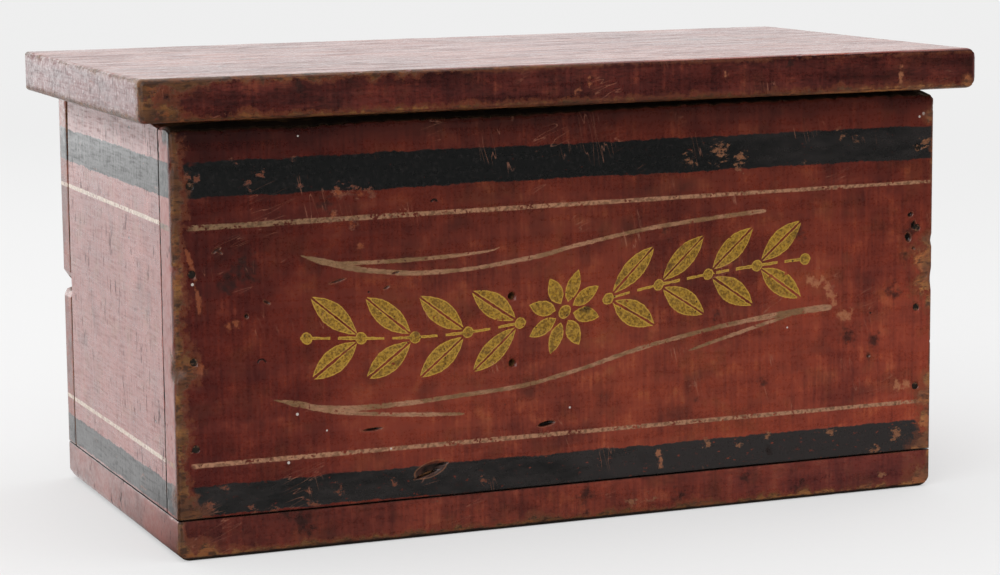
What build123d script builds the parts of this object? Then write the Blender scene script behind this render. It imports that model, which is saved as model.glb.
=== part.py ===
"""Nailed wooden tool box with a slab lid on two butt hinges.

Millimetres. The origin is the middle of the underside of the bottom board.
+X runs to the right along the front, +Y towards the back, +Z up.
"""

import os

from build123d import *

# Carcass: four walls that stand on a bottom board of the same outline
body_width = 430.0
body_depth = 224.0
body_height = 220.0
bottom_thickness = 21.0
front_thickness = 20.5
back_thickness = 16.5
end_thickness = 20.5
corner_radius = 3.0
foot_radius = 3.0

# The end boards have shrunk away from the back board, the left one most at its top
seam_gap = 1.2
wedge_gap = 4.5
wedge_height = 70.0

# Two empty screw holes in the front board, one above the other
old_hole_radius = 2.2
old_hole_from_left = 180.5
old_hole_height = 87.5
old_hole_spacing = 35.0

# Lid: one slab that overhangs both ends and the front, and is flush at the back
lid_thickness = 22.0
lid_side_overhang = 18.0
lid_front_overhang = 13.0
lid_edge_radius = 3.5
lid_gap = 0.3

# Butt hinges let into the rim of the back board and the underside of the lid
hinge_from_end = 75.0
hinge_length = 51.0
leaf_thickness = 1.8
leaf_reach = 12.0
barrel_radius = 3.2
barrel_clearance = 0.3
pin_radius = 1.4
pin_clearance = 0.05
knuckle_count = 5
knuckle_gap = 0.3
mortise_clearance = 0.1

# Countersunk wood screws, three to a leaf
screw_length = 14.0
screw_head_radius = 3.1
screw_head_depth = 1.4
screw_shank_radius = 1.6
screw_point_length = 4.0
screw_sink = 0.2
screw_clearance = 0.05
slot_width = 0.9
slot_depth = 0.7
screw_place_shares = (-0.34, 0.0, 0.34)
screw_reach_share = 0.5

# Finishing nails with small barrel heads, driven a little below the surface
nail_length = 50.0
nail_radius = 1.35
nail_head_radius = 2.0
nail_head_length = 2.5
nail_point_length = 3.5
nail_set_depth = 0.8
nail_clearance = 0.05
wall_nail_shares = (0.18, 0.40, 0.62, 0.84)
long_edge_nail_shares = (-0.4, -0.2, 0.0, 0.2, 0.4)
short_edge_nail_shares = (-0.2, 0.0, 0.2)

# Every cutting shape runs this far past the face that it opens
overrun = 1.0

# Places that follow from the sizes above
right_x = body_width / 2
front_y = -body_depth / 2
back_y = body_depth / 2
rim_z = body_height
wall_height = body_height - bottom_thickness
inner_front_y = front_y + front_thickness
inner_back_y = back_y - back_thickness
end_middle_x = right_x - end_thickness / 2
lid_bottom_z = rim_z + lid_gap
lid_top_z = lid_bottom_z + lid_thickness
axis_y = back_y + barrel_radius + barrel_clearance
axis_z = rim_z + lid_gap / 2
hinge_x = right_x - hinge_from_end
bore_radius = pin_radius + pin_clearance
screw_y = back_y - leaf_reach * screw_reach_share


def block(low_x, high_x, low_y, high_y, low_z, high_z):
    """A box between two opposite corners."""
    size = (high_x - low_x, high_y - low_y, high_z - low_z)
    return Pos(low_x, low_y, low_z) * Box(*size, align=(Align.MIN, Align.MIN, Align.MIN))


def turned(outline):
    """A round solid about Z, from its half outline of (radius, height) points."""
    half = Polyline(*[(radius, 0, height) for radius, height in outline], close=True)
    return revolve(make_face(half), Axis.Z)


def rod(radius, length):
    """A round bar along X, centred on the origin."""
    return Rot(0, 90, 0) * Cylinder(radius, length)


def nail():
    """One nail that enters a board at the origin and points along +Z."""
    head_end = nail_set_depth + nail_head_length
    point_start = nail_length - nail_point_length
    return turned([
        (0, nail_set_depth),
        (nail_head_radius, nail_set_depth),
        (nail_head_radius, head_end),
        (nail_radius, head_end),
        (nail_radius, point_start),
        (0, nail_length),
    ])


def nail_hole():
    """The hole that the nail makes, open at the surface where the head was driven in."""
    head_end = nail_set_depth + nail_head_length
    point_start = nail_length - nail_point_length
    return turned([
        (0, -overrun),
        (nail_head_radius + nail_clearance, -overrun),
        (nail_head_radius + nail_clearance, head_end),
        (nail_radius + nail_clearance, head_end),
        (nail_radius + nail_clearance, point_start),
        (0, nail_length + nail_clearance),
    ])


def screw():
    """One slotted screw whose leaf has its face at the origin, pointing along +Z."""
    head_end = screw_sink + screw_head_depth
    point_start = screw_length - screw_point_length
    body = turned([
        (0, screw_sink),
        (screw_head_radius, screw_sink),
        (screw_shank_radius, head_end),
        (screw_shank_radius, point_start),
        (0, screw_length),
    ])
    half_slot = slot_width / 2
    slot = block(
        -screw_head_radius, screw_head_radius, -half_slot, half_slot, 0, screw_sink + slot_depth
    )
    return body - slot


def screw_hole():
    """The countersunk hole of one screw, through the leaf and into the wood behind it."""
    head_end = screw_sink + screw_head_depth
    point_start = screw_length - screw_point_length
    return turned([
        (0, -overrun),
        (screw_head_radius + screw_clearance, -overrun),
        (screw_head_radius + screw_clearance, screw_sink),
        (screw_shank_radius + screw_clearance, head_end),
        (screw_shank_radius + screw_clearance, point_start),
        (0, screw_length + screw_clearance),
    ])


def wall_nail_places(x, face_y, inward):
    """Where the nails of one corner go in, down the face of the front or back board."""
    turn = Rot(-90, 0, 0) if inward > 0 else Rot(90, 0, 0)
    heights = [bottom_thickness + wall_height * share for share in wall_nail_shares]
    return [Pos(x, face_y, height) * turn for height in heights]


def long_edge_places(y):
    """Where the nails go up through the bottom board into the front or back board."""
    return [Pos(body_width * share, y, 0) for share in long_edge_nail_shares]


def short_edge_places(x):
    """Where the nails go up through the bottom board into an end board."""
    middle_y = (inner_front_y + inner_back_y) / 2
    inner_depth = inner_back_y - inner_front_y
    return [Pos(x, middle_y + inner_depth * share, 0) for share in short_edge_nail_shares]


def screw_places(x, face_z, turn):
    """Where the screws of one leaf go in."""
    return [Pos(x + hinge_length * share, screw_y, face_z) * turn for share in screw_place_shares]


def put(shape, places):
    """A copy of a shape at each place."""
    return [place * shape for place in places]


# Places of the fasteners, by the node that holds each group
nail_places = {
    "front_nails_left": wall_nail_places(-end_middle_x, front_y, 1),
    "front_nails_right": wall_nail_places(end_middle_x, front_y, 1),
    "back_nails_left": wall_nail_places(-end_middle_x, back_y, -1),
    "back_nails_right": wall_nail_places(end_middle_x, back_y, -1),
    "bottom_nails_front": long_edge_places(front_y + front_thickness / 2),
    "bottom_nails_back": long_edge_places(back_y - back_thickness / 2),
    "bottom_nails_left": short_edge_places(-end_middle_x),
    "bottom_nails_right": short_edge_places(end_middle_x),
}
hinge_sides = {"left": -hinge_x, "right": hinge_x}
downwards = Rot(180, 0, 0)
upwards = Rot(0, 0, 0)
box_screw_places = {side: screw_places(x, rim_z, downwards) for side, x in hinge_sides.items()}
lid_screw_places = {side: screw_places(x, lid_bottom_z, upwards) for side, x in hinge_sides.items()}


def nail_holes(*groups):
    """The holes of the named groups of nails."""
    return [hole for group in groups for hole in put(nail_hole(), nail_places[group])]


def screw_holes(places):
    """The screw holes of both hinges, on the box or on the lid."""
    return [hole for side in places for hole in put(screw_hole(), places[side])]


def mortises(low_z, high_z):
    """The two shallow seats that a leaf of each hinge lies in, open at the back."""
    half = hinge_length / 2 + mortise_clearance
    inner_y = back_y - leaf_reach - mortise_clearance
    return [
        block(x - half, x + half, inner_y, back_y + overrun, low_z, high_z)
        for x in hinge_sides.values()
    ]


def upright_edges(board, y):
    """The two outer upright edges of a wall, on its face at y."""
    uprights = board.edges().filter_by(Axis.Z)
    return [edge for edge in uprights if abs(edge.center().Y - y) < corner_radius]


def bottom_board():
    """The board under all four walls, rounded where it stands on the floor."""
    board = block(-right_x, right_x, front_y, back_y, 0, bottom_thickness)
    board = fillet(board.edges().filter_by(Axis.Z), corner_radius)
    board = fillet(board.faces().sort_by(Axis.Z)[0].edges(), foot_radius)
    return board - nail_holes(
        "bottom_nails_front", "bottom_nails_back", "bottom_nails_left", "bottom_nails_right"
    )


def front_board():
    """The front wall, which laps over both end boards."""
    board = block(-right_x, right_x, front_y, inner_front_y, bottom_thickness, rim_z)
    board = fillet(upright_edges(board, front_y), corner_radius)
    hole = Rot(90, 0, 0) * Cylinder(old_hole_radius, front_thickness + overrun + overrun)
    hole_x = old_hole_from_left - right_x
    hole_y = (front_y + inner_front_y) / 2
    hole_heights = (old_hole_height, old_hole_height + old_hole_spacing)
    old_holes = [Pos(hole_x, hole_y, height) * hole for height in hole_heights]
    return board - old_holes - nail_holes(
        "front_nails_left", "front_nails_right", "bottom_nails_front"
    )


def back_board():
    """The back wall, with a seat for each hinge in its rim."""
    board = block(-right_x, right_x, inner_back_y, back_y, bottom_thickness, rim_z)
    board = fillet(upright_edges(board, back_y), corner_radius)
    seats = mortises(rim_z - leaf_thickness, rim_z + overrun)
    board = board - nail_holes("back_nails_left", "back_nails_right", "bottom_nails_back")
    return board - seats - screw_holes(box_screw_places)


def end_board(low_x, high_x, top_gap, *groups):
    """An end wall between front and back, with the gap that its shrinking opened."""
    low_back_y = inner_back_y - seam_gap
    outline = Polyline(
        (low_x, inner_front_y, bottom_thickness),
        (low_x, low_back_y, bottom_thickness),
        (low_x, low_back_y, rim_z - wedge_height),
        (low_x, low_back_y - top_gap, rim_z),
        (low_x, inner_front_y, rim_z),
        close=True,
    )
    board = extrude(make_face(outline), high_x - low_x, dir=(1, 0, 0))
    return board - nail_holes(*groups)


def lid_board():
    """The slab lid, rounded all round but along its back edges, where the hinges sit."""
    side_x = right_x + lid_side_overhang
    lid_front_y = front_y - lid_front_overhang
    board = block(-side_x, side_x, lid_front_y, back_y, lid_bottom_z, lid_top_z)
    back_edges = board.faces().sort_by(Axis.Y)[-1].edges()
    rounded = [edge for edge in board.edges() if edge not in back_edges]
    board = fillet(rounded, lid_edge_radius)
    seats = mortises(lid_bottom_z - overrun, lid_bottom_z + leaf_thickness)
    return board - seats - screw_holes(lid_screw_places)


def hinge_leaf(x, low_z, knuckles, places):
    """One leaf: a plate in its seat, and tongues that reach out to its own knuckles."""
    high_z = low_z + leaf_thickness
    half = hinge_length / 2
    pitch = hinge_length / knuckle_count
    half_knuckle = (pitch - knuckle_gap) / 2
    leaf = block(x - half, x + half, back_y - leaf_reach, back_y, low_z, high_z)
    for number in knuckles:
        middle_x = x - half + pitch * number + pitch / 2
        start_x = middle_x - half_knuckle
        end_x = middle_x + half_knuckle
        leaf = leaf + block(start_x, end_x, back_y, axis_y, low_z, high_z)
        leaf = leaf + Pos(middle_x, axis_y, axis_z) * rod(barrel_radius, half_knuckle + half_knuckle)
    bore = Pos(x, axis_y, axis_z) * rod(bore_radius, hinge_length + overrun + overrun)
    return leaf - bore - put(screw_hole(), places)


def hinge_pin(x):
    """The pin, as long as the barrel that it runs through."""
    return Pos(x, axis_y, axis_z) * rod(pin_radius, hinge_length)


def write(node, shape):
    """Write one node as a STEP file: one solid, or a group of separate ones."""
    solids = shape if isinstance(shape, list) else [shape]
    pieces = [solid for piece in solids for solid in piece.solids()]
    export_step(pieces[0] if len(pieces) == 1 else Compound(pieces), f"parts/{node}.step")
    print(node, len(pieces), "solid" if len(pieces) == 1 else "solids")


os.makedirs("parts", exist_ok=True)

write("bottom_board", bottom_board())
write("front_board", front_board())
write("back_board", back_board())
write("left_end_board", end_board(
    -right_x, end_thickness - right_x, wedge_gap,
    "front_nails_left", "back_nails_left", "bottom_nails_left",
))
write("right_end_board", end_board(
    right_x - end_thickness, right_x, 0,
    "front_nails_right", "back_nails_right", "bottom_nails_right",
))
write("lid_board", lid_board())

for side, x in hinge_sides.items():
    box_knuckles = range(0, knuckle_count, 2)
    lid_knuckles = range(1, knuckle_count, 2)
    box_leaf = hinge_leaf(x, rim_z - leaf_thickness, box_knuckles, box_screw_places[side])
    lid_leaf = hinge_leaf(x, lid_bottom_z, lid_knuckles, lid_screw_places[side])
    write(f"{side}_hinge_box_leaf", box_leaf)
    write(f"{side}_hinge_lid_leaf", lid_leaf)
    write(f"{side}_hinge_pin", hinge_pin(x))
    write(f"{side}_hinge_box_screws", put(screw(), box_screw_places[side]))
    write(f"{side}_hinge_lid_screws", put(screw(), lid_screw_places[side]))

for group, places in nail_places.items():
    write(group, put(nail(), places))
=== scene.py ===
# %% [markdown]
# # A painted tool box, finished around its CAD frame
# The box is six nailed boards: four walls on a bottom board, and a slab lid on two butt hinges.
# The CAD model fixes every size and place, so Blender adds only the look: worn edges, paint and light.

# %% Load the frame
import math

import bmesh
import bpy
import numpy as np
from mathutils import Matrix, Vector


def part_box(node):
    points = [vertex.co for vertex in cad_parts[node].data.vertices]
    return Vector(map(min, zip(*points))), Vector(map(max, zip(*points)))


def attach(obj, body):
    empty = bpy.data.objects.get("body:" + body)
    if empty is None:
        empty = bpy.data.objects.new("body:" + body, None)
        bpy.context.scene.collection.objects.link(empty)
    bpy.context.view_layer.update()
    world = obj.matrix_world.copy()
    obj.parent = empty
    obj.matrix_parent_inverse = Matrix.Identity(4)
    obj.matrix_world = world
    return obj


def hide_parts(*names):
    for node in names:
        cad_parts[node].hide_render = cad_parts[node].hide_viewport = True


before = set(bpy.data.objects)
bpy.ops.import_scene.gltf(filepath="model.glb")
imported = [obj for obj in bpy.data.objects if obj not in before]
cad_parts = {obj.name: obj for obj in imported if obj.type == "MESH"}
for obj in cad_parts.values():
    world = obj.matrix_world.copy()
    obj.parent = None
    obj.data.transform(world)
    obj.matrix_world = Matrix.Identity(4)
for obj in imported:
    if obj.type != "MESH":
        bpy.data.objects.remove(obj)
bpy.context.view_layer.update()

scene = bpy.context.scene
scene.view_settings.view_transform = "Standard"
mm = 0.001

# %% [markdown]
# ## The camera
# A camera could be placed by eye and nudged until the picture fits. Here its place, turn and lens come
# from a fit to the box's corners in the photograph, so the boards land where the photograph has them.

# %% Camera
camera_place = Vector((-599.3, -1473.5, 346.3)) * mm
yaw = math.radians(22.29)
pitch = math.radians(8.46)
roll = math.radians(-0.52)
ahead = Vector((math.sin(yaw) * math.cos(pitch), math.cos(yaw) * math.cos(pitch), -math.sin(pitch)))
level = Vector((math.cos(yaw), -math.sin(yaw), 0))
upright = level.cross(ahead)
picture_right = math.cos(roll) * level + math.sin(roll) * upright
picture_up = math.cos(roll) * upright - math.sin(roll) * level
camera = bpy.data.objects.new("photo_camera", bpy.data.cameras.new("photo_camera"))
camera.data.lens = 104.27
camera.data.sensor_width = 36
camera.data.sensor_fit = "HORIZONTAL"
camera_turn = Matrix((picture_right, picture_up, -ahead)).transposed()
camera.matrix_world = Matrix.Translation(camera_place) @ camera_turn.to_4x4()
scene.collection.objects.link(camera)
scene.camera = camera
print("camera at", [round(c, 3) for c in camera_place], "lens", camera.data.lens)

# %% [markdown]
# ## Node maths as plain expressions
# Paint is a stack of masks: where a band lies, where it is chipped, where an edge is rubbed bare.
# Wiring each Math node by hand would hide that, so one small class wraps a socket, and adding or
# multiplying two of them adds the node. Any other node comes from its node() method.


# %% Points of a curve
def bend_curve(mapping, points):
    """Give a Float Curve node its points."""
    curve = mapping.curves[0]
    while len(curve.points) < len(points):
        curve.points.new(0.5, 0.5)
    for knot, place in zip(curve.points, points):
        knot.location = place
    mapping.update()


print("curves can be bent")


# %% A socket that can be calculated with
class Shade:
    """One socket in a node tree. Arithmetic on it adds Math nodes, and node() adds any other."""

    def __init__(self, tree, socket=None):
        self.tree = tree
        self.socket = socket

    def node(self, kind, settings=None, inputs=None, output=0):
        """Add a node, its settings first and then its sockets. Gives one output, or several."""
        made = self.tree.nodes.new(kind)
        for name, value in (settings or {}).items():
            if name == "curve":
                bend_curve(made.mapping, value)
            else:
                setattr(made, name, value)
        for key, value in (inputs or {}).items():
            if isinstance(value, Shade):
                self.tree.links.new(value.socket, made.inputs[key])
            else:
                made.inputs[key].default_value = value
        if output is None:
            return None
        if isinstance(output, tuple):
            return [Shade(self.tree, made.outputs[key]) for key in output]
        return Shade(self.tree, made.outputs[output])

    def math(self, operation, first, second=0.0):
        return self.node("ShaderNodeMath", {"operation": operation}, {0: first, 1: second})

    def __add__(self, other):
        return self.math("ADD", self, other)

    def __radd__(self, other):
        return self.math("ADD", other, self)

    def __sub__(self, other):
        return self.math("SUBTRACT", self, other)

    def __rsub__(self, other):
        return self.math("SUBTRACT", other, self)

    def __mul__(self, other):
        return self.math("MULTIPLY", self, other)

    def __rmul__(self, other):
        return self.math("MULTIPLY", other, self)

    def __truediv__(self, other):
        return self.math("DIVIDE", self, other)

    def __mod__(self, other):
        return self.math("FLOORED_MODULO", self, other)

    def __abs__(self):
        return self.math("ABSOLUTE", self)

    def most(self, other):
        return self.math("MAXIMUM", self, other)

    def least(self, other):
        return self.math("MINIMUM", self, other)


print("node maths ready")

# %% [markdown]
# ## Helpers for patterns
# Every pattern on the box is a cloud, a spot or an edge. Node groups could hold them, but a function is
# shorter to read. These helpers make one each, in millimetres, so that a number in the paint below can
# be held against a ruler on the real box.


# %% Vectors
def vector(operation, *values):
    """Vector maths on sockets or on plain triples."""
    owner = next(value for value in values if isinstance(value, Shade))
    return owner.node("ShaderNodeVectorMath", {"operation": operation}, dict(enumerate(values)))


def stretched(place, factor):
    """A vector made longer or shorter."""
    return place.node("ShaderNodeVectorMath", {"operation": "SCALE"}, {"Vector": place, "Scale": factor})


def split(place):
    """The X, Y and Z of a vector."""
    return place.node("ShaderNodeSeparateXYZ", inputs={0: place}, output=(0, 1, 2))


def root(value):
    """Square root."""
    return value.math("SQRT", value)


print("vector helpers ready")


# %% Clouds, edges and mixes
def noise(place, size, detail=2.0, roughness=0.5, shift=0.0):
    """Cloudy variation about 0.5. Size is the width of a cloud, or a triple of widths along the axes."""
    sizes = size if isinstance(size, tuple) else (size, size, size)
    scales = tuple(1 / width for width in sizes)
    scaled = vector("MULTIPLY_ADD", place, scales, (shift, shift * 1.7, shift * 2.3))
    inputs = {"Vector": scaled, "Scale": 1.0, "Detail": detail, "Roughness": roughness}
    return scaled.node("ShaderNodeTexNoise", inputs=inputs)


def sway(cloud, amount):
    """A cloud turned into a shift to either side of 0, by up to half the amount."""
    return (cloud - 0.5) * amount


def along(grain, length, width):
    """Cloud widths for a streak that follows the grain, along X (0) or Y (1)."""
    widths = [width, width, width]
    widths[grain] = length
    return tuple(widths)


def step(value, low, high):
    """A soft edge: 0 below low and 1 above high, or turned round when low is the greater."""
    inputs = {"Value": value, "From Min": low, "From Max": high}
    return value.node("ShaderNodeMapRange", {"interpolation_type": "SMOOTHSTEP"}, inputs)


def union(masks):
    """One mask from several: the highest of them at each place."""
    highest, *others = masks
    for mask in others:
        highest = highest.most(mask)
    return highest


def tint(red, green, blue):
    """A colour, as a socket takes it."""
    return (red, green, blue, 1.0)


def mix(mask, under, over, way="MIX"):
    """One colour over another where the mask is 1."""
    settings = {"data_type": "RGBA", "blend_type": way}
    return mask.node("ShaderNodeMix", settings, {0: mask, 6: under, 7: over}, output=2)


def glaze(mask, under, over):
    """A thin coat that tints what lies under it where the mask is 1."""
    return mix(mask, under, over, "MULTIPLY")


print("pattern helpers ready")

# %% [markdown]
# ## Worn boards
# Long use has rounded the boards' edges unevenly and nicked them. A bevel would give every edge the same
# radius, so a Geometry Nodes tree makes the board instead: a box of small faces, crowded towards its
# edges, is drawn in to rounded edges whose radius wanders with two clouds of noise.
# One tree serves all six boards, because each side has a rounding of its own.

# %% The tree of a worn board
board_inputs = {
    "Low corner": "NodeSocketVector",
    "High corner": "NodeSocketVector",
    "Low side rounding": "NodeSocketVector",
    "High side rounding": "NodeSocketVector",
    **{f"Points along {axis}": "NodeSocketInt" for axis in "XYZ"},
    "Wear": "NodeSocketFloat",
    "Seed": "NodeSocketFloat",
    "Finish": "NodeSocketMaterial",
}
board_tree = bpy.data.node_groups.new("worn_board", "GeometryNodeTree")
for label, kind in board_inputs.items():
    board_tree.interface.new_socket(name=label, in_out="INPUT", socket_type=kind)
board_tree.interface.new_socket(name="Board", in_out="OUTPUT", socket_type="NodeSocketGeometry")
board = Shade(board_tree)
given = dict(zip(board_inputs, board.node("NodeGroupInput", output=tuple(board_inputs))))
counts = {f"Vertices {axis}": given[f"Points along {axis}"] for axis in "XYZ"}
block = board.node("GeometryNodeMeshCube", inputs={"Size": (2.0, 2.0, 2.0), **counts})
crowding = 0.42
halves = (0.5, 0.5, 0.5)
even = board.node("GeometryNodeInputPosition")
pull = vector("MULTIPLY_ADD", vector("MULTIPLY", even, even), (-crowding,) * 3, (1 + crowding,) * 3)
crowded = vector("MULTIPLY", even, pull)
share = vector("MULTIPLY_ADD", crowded, halves, halves)
span = vector("SUBTRACT", given["High corner"], given["Low corner"])
spot = vector("MULTIPLY_ADD", share, span, given["Low corner"])
print("board tree: a box of faces crowded to its edges")

# %% The tree's rounding
rounding_slope = 0.6
least_rounding = 0.3
clearance = 0.03 * mm
from_low = vector("SUBTRACT", spot, given["Low corner"])
from_high = vector("SUBTRACT", given["High corner"], spot)
which = vector("MULTIPLY_ADD", vector("SIGN", crowded), halves, halves)
change = vector("SUBTRACT", given["High side rounding"], given["Low side rounding"])
rounding = vector("MULTIPLY_ADD", which, change, given["Low side rounding"])
side = vector("MINIMUM", from_low, from_high)
reach_x, reach_y, reach_z = split(vector("MULTIPLY_ADD", side, (rounding_slope,) * 3, rounding))
seed_shift = board.node("ShaderNodeCombineXYZ", inputs=dict.fromkeys(range(3), given["Seed"]))
seeded = vector("ADD", spot, seed_shift)
slow = noise(seeded, 45 * mm, 1.0) - 0.5
nicks = (noise(seeded, 9 * mm, 2.0) - 0.56).most(0.0)
unevenness = (1 + given["Wear"] * (slow * 1.8 + nicks * 5.0)).most(least_rounding)
radius = reach_x.least(reach_y).least(reach_z) * unevenness
inner_low = vector("ADD", given["Low corner"], radius)
inner_high = vector("SUBTRACT", given["High corner"], radius)
core = vector("MINIMUM", vector("MAXIMUM", spot, inner_low), inner_high)
outward = vector("NORMALIZE", vector("SUBTRACT", spot, core))
hollows = noise(seeded, 90 * mm, 2.0) * 0.40 + noise(seeded, 14 * mm, 2.0) * 0.07
lift = radius - given["Wear"] * hollows * mm - clearance
worn_place = vector("ADD", core, stretched(outward, lift))
print("board tree: edges rounded and nicked")

# %% The tree's end
shaped = board.node("GeometryNodeSetPosition", inputs={"Geometry": block, "Position": worn_place})
softened = board.node("GeometryNodeSetShadeSmooth", inputs={"Geometry": shaped})
real = board.node("GeometryNodeRealizeInstances", inputs={"Geometry": softened})
coated = board.node("GeometryNodeSetMaterial", inputs={"Geometry": real, "Material": given["Finish"]})
board.node("NodeGroupOutput", inputs={"Board": coated}, output=None)
print("board tree:", len(board_tree.nodes), "nodes")

# %% [markdown]
# ## From tree to board
# The worn box has no nail holes, old screw holes or hinge seats yet. They could be drilled again, but the
# CAD board has them all, exactly where its nails and hinges sit. So the worn box is cut to what it shares
# with the CAD board. Such a cut can leave slivers along its edge, which are then taken out.

# %% Meshes to cut with, and after a cut
join_reach = 0.001 * mm
sliver_width = 0.002 * mm


def evaluated_mesh(thing):
    """The plain mesh that an object's modifiers give."""
    depsgraph = bpy.context.evaluated_depsgraph_get()
    return bpy.data.meshes.new_from_object(thing.evaluated_get(depsgraph))


def cad_solid(node):
    """A copy of a CAD board with its loose triangles joined, to cut with."""
    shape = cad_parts[node].data.copy()
    joined = bmesh.new()
    joined.from_mesh(shape)
    bmesh.ops.remove_doubles(joined, verts=joined.verts, dist=join_reach)
    joined.to_mesh(shape)
    joined.free()
    solid = bpy.data.objects.new("cutting_shape", shape)
    scene.collection.objects.link(solid)
    return solid


def places_of(mesh):
    """All points of a mesh, in mm."""
    found = np.empty(len(mesh.vertices) * 3, np.float32)
    mesh.vertices.foreach_get("co", found)
    return found.reshape(-1, 3).astype(float) / mm


def drop_slivers(mesh):
    """Take out what a cut leaves along its edge: faces with no width, and pairs that lie on each other."""
    work = bmesh.new()
    work.from_mesh(mesh)
    bmesh.ops.triangulate(work, faces=work.faces[:])
    bmesh.ops.dissolve_degenerate(work, dist=sliver_width, edges=work.edges[:])
    bmesh.ops.triangulate(work, faces=work.faces[:])
    alike = {}
    for face in work.faces:
        alike.setdefault(frozenset(face.verts), []).append(face)
    doubled = [face for faces in alike.values() if len(faces) > 1 for face in faces]
    bmesh.ops.delete(work, geom=doubled, context="FACES")
    open_edges = sum(len(edge.link_faces) != 2 for edge in work.edges)
    work.to_mesh(mesh)
    work.free()
    print("took out", len(doubled), "doubled faces, open edges", open_edges)


print("mesh helpers ready")


# %% Make one board
def worn_board(name, node, finish, points, low_rounding, high_rounding, seed, carve=None):
    """A worn board in the place of a CAD board, with the CAD board's holes and seats."""
    low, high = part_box(node)
    piece = bpy.data.objects.new(name, bpy.data.meshes.new(name))
    scene.collection.objects.link(piece)
    values = {
        "Low corner": low,
        "High corner": high,
        "Low side rounding": Vector(low_rounding) * mm,
        "High side rounding": Vector(high_rounding) * mm,
        **{f"Points along {axis}": count for axis, count in zip("XYZ", points)},
        "Wear": 1.0,
        "Seed": seed,
        "Finish": finish,
    }
    shaping = piece.modifiers.new("worn", "NODES")
    shaping.node_group = board_tree
    for item in board_tree.interface.items_tree:
        if item.in_out == "INPUT":
            shaping[item.identifier] = values[item.name]
    block_mesh = evaluated_mesh(piece)
    piece.modifiers.clear()
    if carve:
        carved = carve(block_mesh, np.array(low) / mm, np.array(high) / mm)
        block_mesh.vertices.foreach_set("co", (carved * mm).astype(np.float32).ravel())
    piece.data = block_mesh
    solid = cad_solid(node)
    cut = piece.modifiers.new("cut", "BOOLEAN")
    cut.operation = "INTERSECT"
    cut.solver = "MANIFOLD"
    cut.object = solid
    cut_mesh = evaluated_mesh(piece)
    piece.modifiers.clear()
    piece.data = cut_mesh
    bpy.data.objects.remove(solid)
    drop_slivers(cut_mesh)
    cut_mesh.materials.clear()
    cut_mesh.materials.append(finish)
    print(name, len(block_mesh.vertices), "points, cut to", len(cut_mesh.vertices))
    return piece


print("board maker ready")

# %% [markdown]
# ## Knocks that shape the wood
# Some damage is too big for paint: rounded corners, a front edge worn down under the lid, a notch in the
# back board, bites out of edges and a torn gouge. A sculptor would push points by hand. Here each kind of
# knock is a small function that moves the block's points inwards before the CAD board cuts it, so nothing
# stands proud.

# %% Ways to knock a board
tiny = 1e-6


def smooth(share):
    """A soft rise from 0 to 1."""
    share = np.clip(share, 0, 1)
    return share * share * (3 - 2 * share)


def round_corner(places, low, high, corner, radius):
    """Round the corner where two sides meet. Corner maps each axis to 0, its low side, or 1, its high."""
    offsets = [radius - (high[axis] - places[:, axis] if end else places[:, axis] - low[axis])
               for axis, end in corner.items()]
    away = np.hypot(*offsets)
    kept = radius / 2
    inside = (offsets[0] > 0) & (offsets[1] > 0) & (away > kept)
    limit = radius * away / np.maximum(np.maximum(*offsets), tiny)
    drawn_in = kept + (away - kept) * (radius - kept) / np.maximum(limit - kept, tiny)
    shrink = np.where(inside, drawn_in / np.maximum(away, tiny), 1.0)
    for (axis, end), offset in zip(corner.items(), offsets):
        places[:, axis] += (1 - shrink) * offset * (-1 if end else 1)


def bite(places, middle, reach, way):
    """Push the points near a place by a vector, most in the middle."""
    away = np.linalg.norm((places - middle) / reach, axis=1)
    places += np.outer(smooth(1 - away), way)


print("corners and bites ready")

# %% Pressed marks
rim_steepness = 1.5


def pressed(x, z, marks):
    """Depth of the listed marks at points of the front, in mm."""
    deepest = np.zeros(len(x))
    for middle_x, middle_z, half_length, half_height, turn, depth in marks:
        lean = math.radians(turn)
        lengthwise = ((x - middle_x) * math.cos(lean) + (z - middle_z) * math.sin(lean)) / half_length
        across = ((z - middle_z) * math.cos(lean) - (x - middle_x) * math.sin(lean)) / half_height
        inward = 1 - np.hypot(lengthwise, across)
        deepest = np.maximum(deepest, depth * smooth(inward * rim_steepness))
    return deepest


def divide_faces(mesh, wanted):
    """Divide the faces whose middle passes a test, so that small marks have points to shape."""
    dense = bmesh.new()
    dense.from_mesh(mesh)
    chosen = {face.index for face in dense.faces if wanted(face.calc_center_median() / mm)}
    edges = [edge for edge in dense.edges if any(face.index in chosen for face in edge.link_faces)]
    bmesh.ops.subdivide_edges(dense, edges=edges, cuts=3, use_grid_fill=True)
    dense.to_mesh(mesh)
    dense.free()
    return len(chosen)


print("pressed marks ready")

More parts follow.
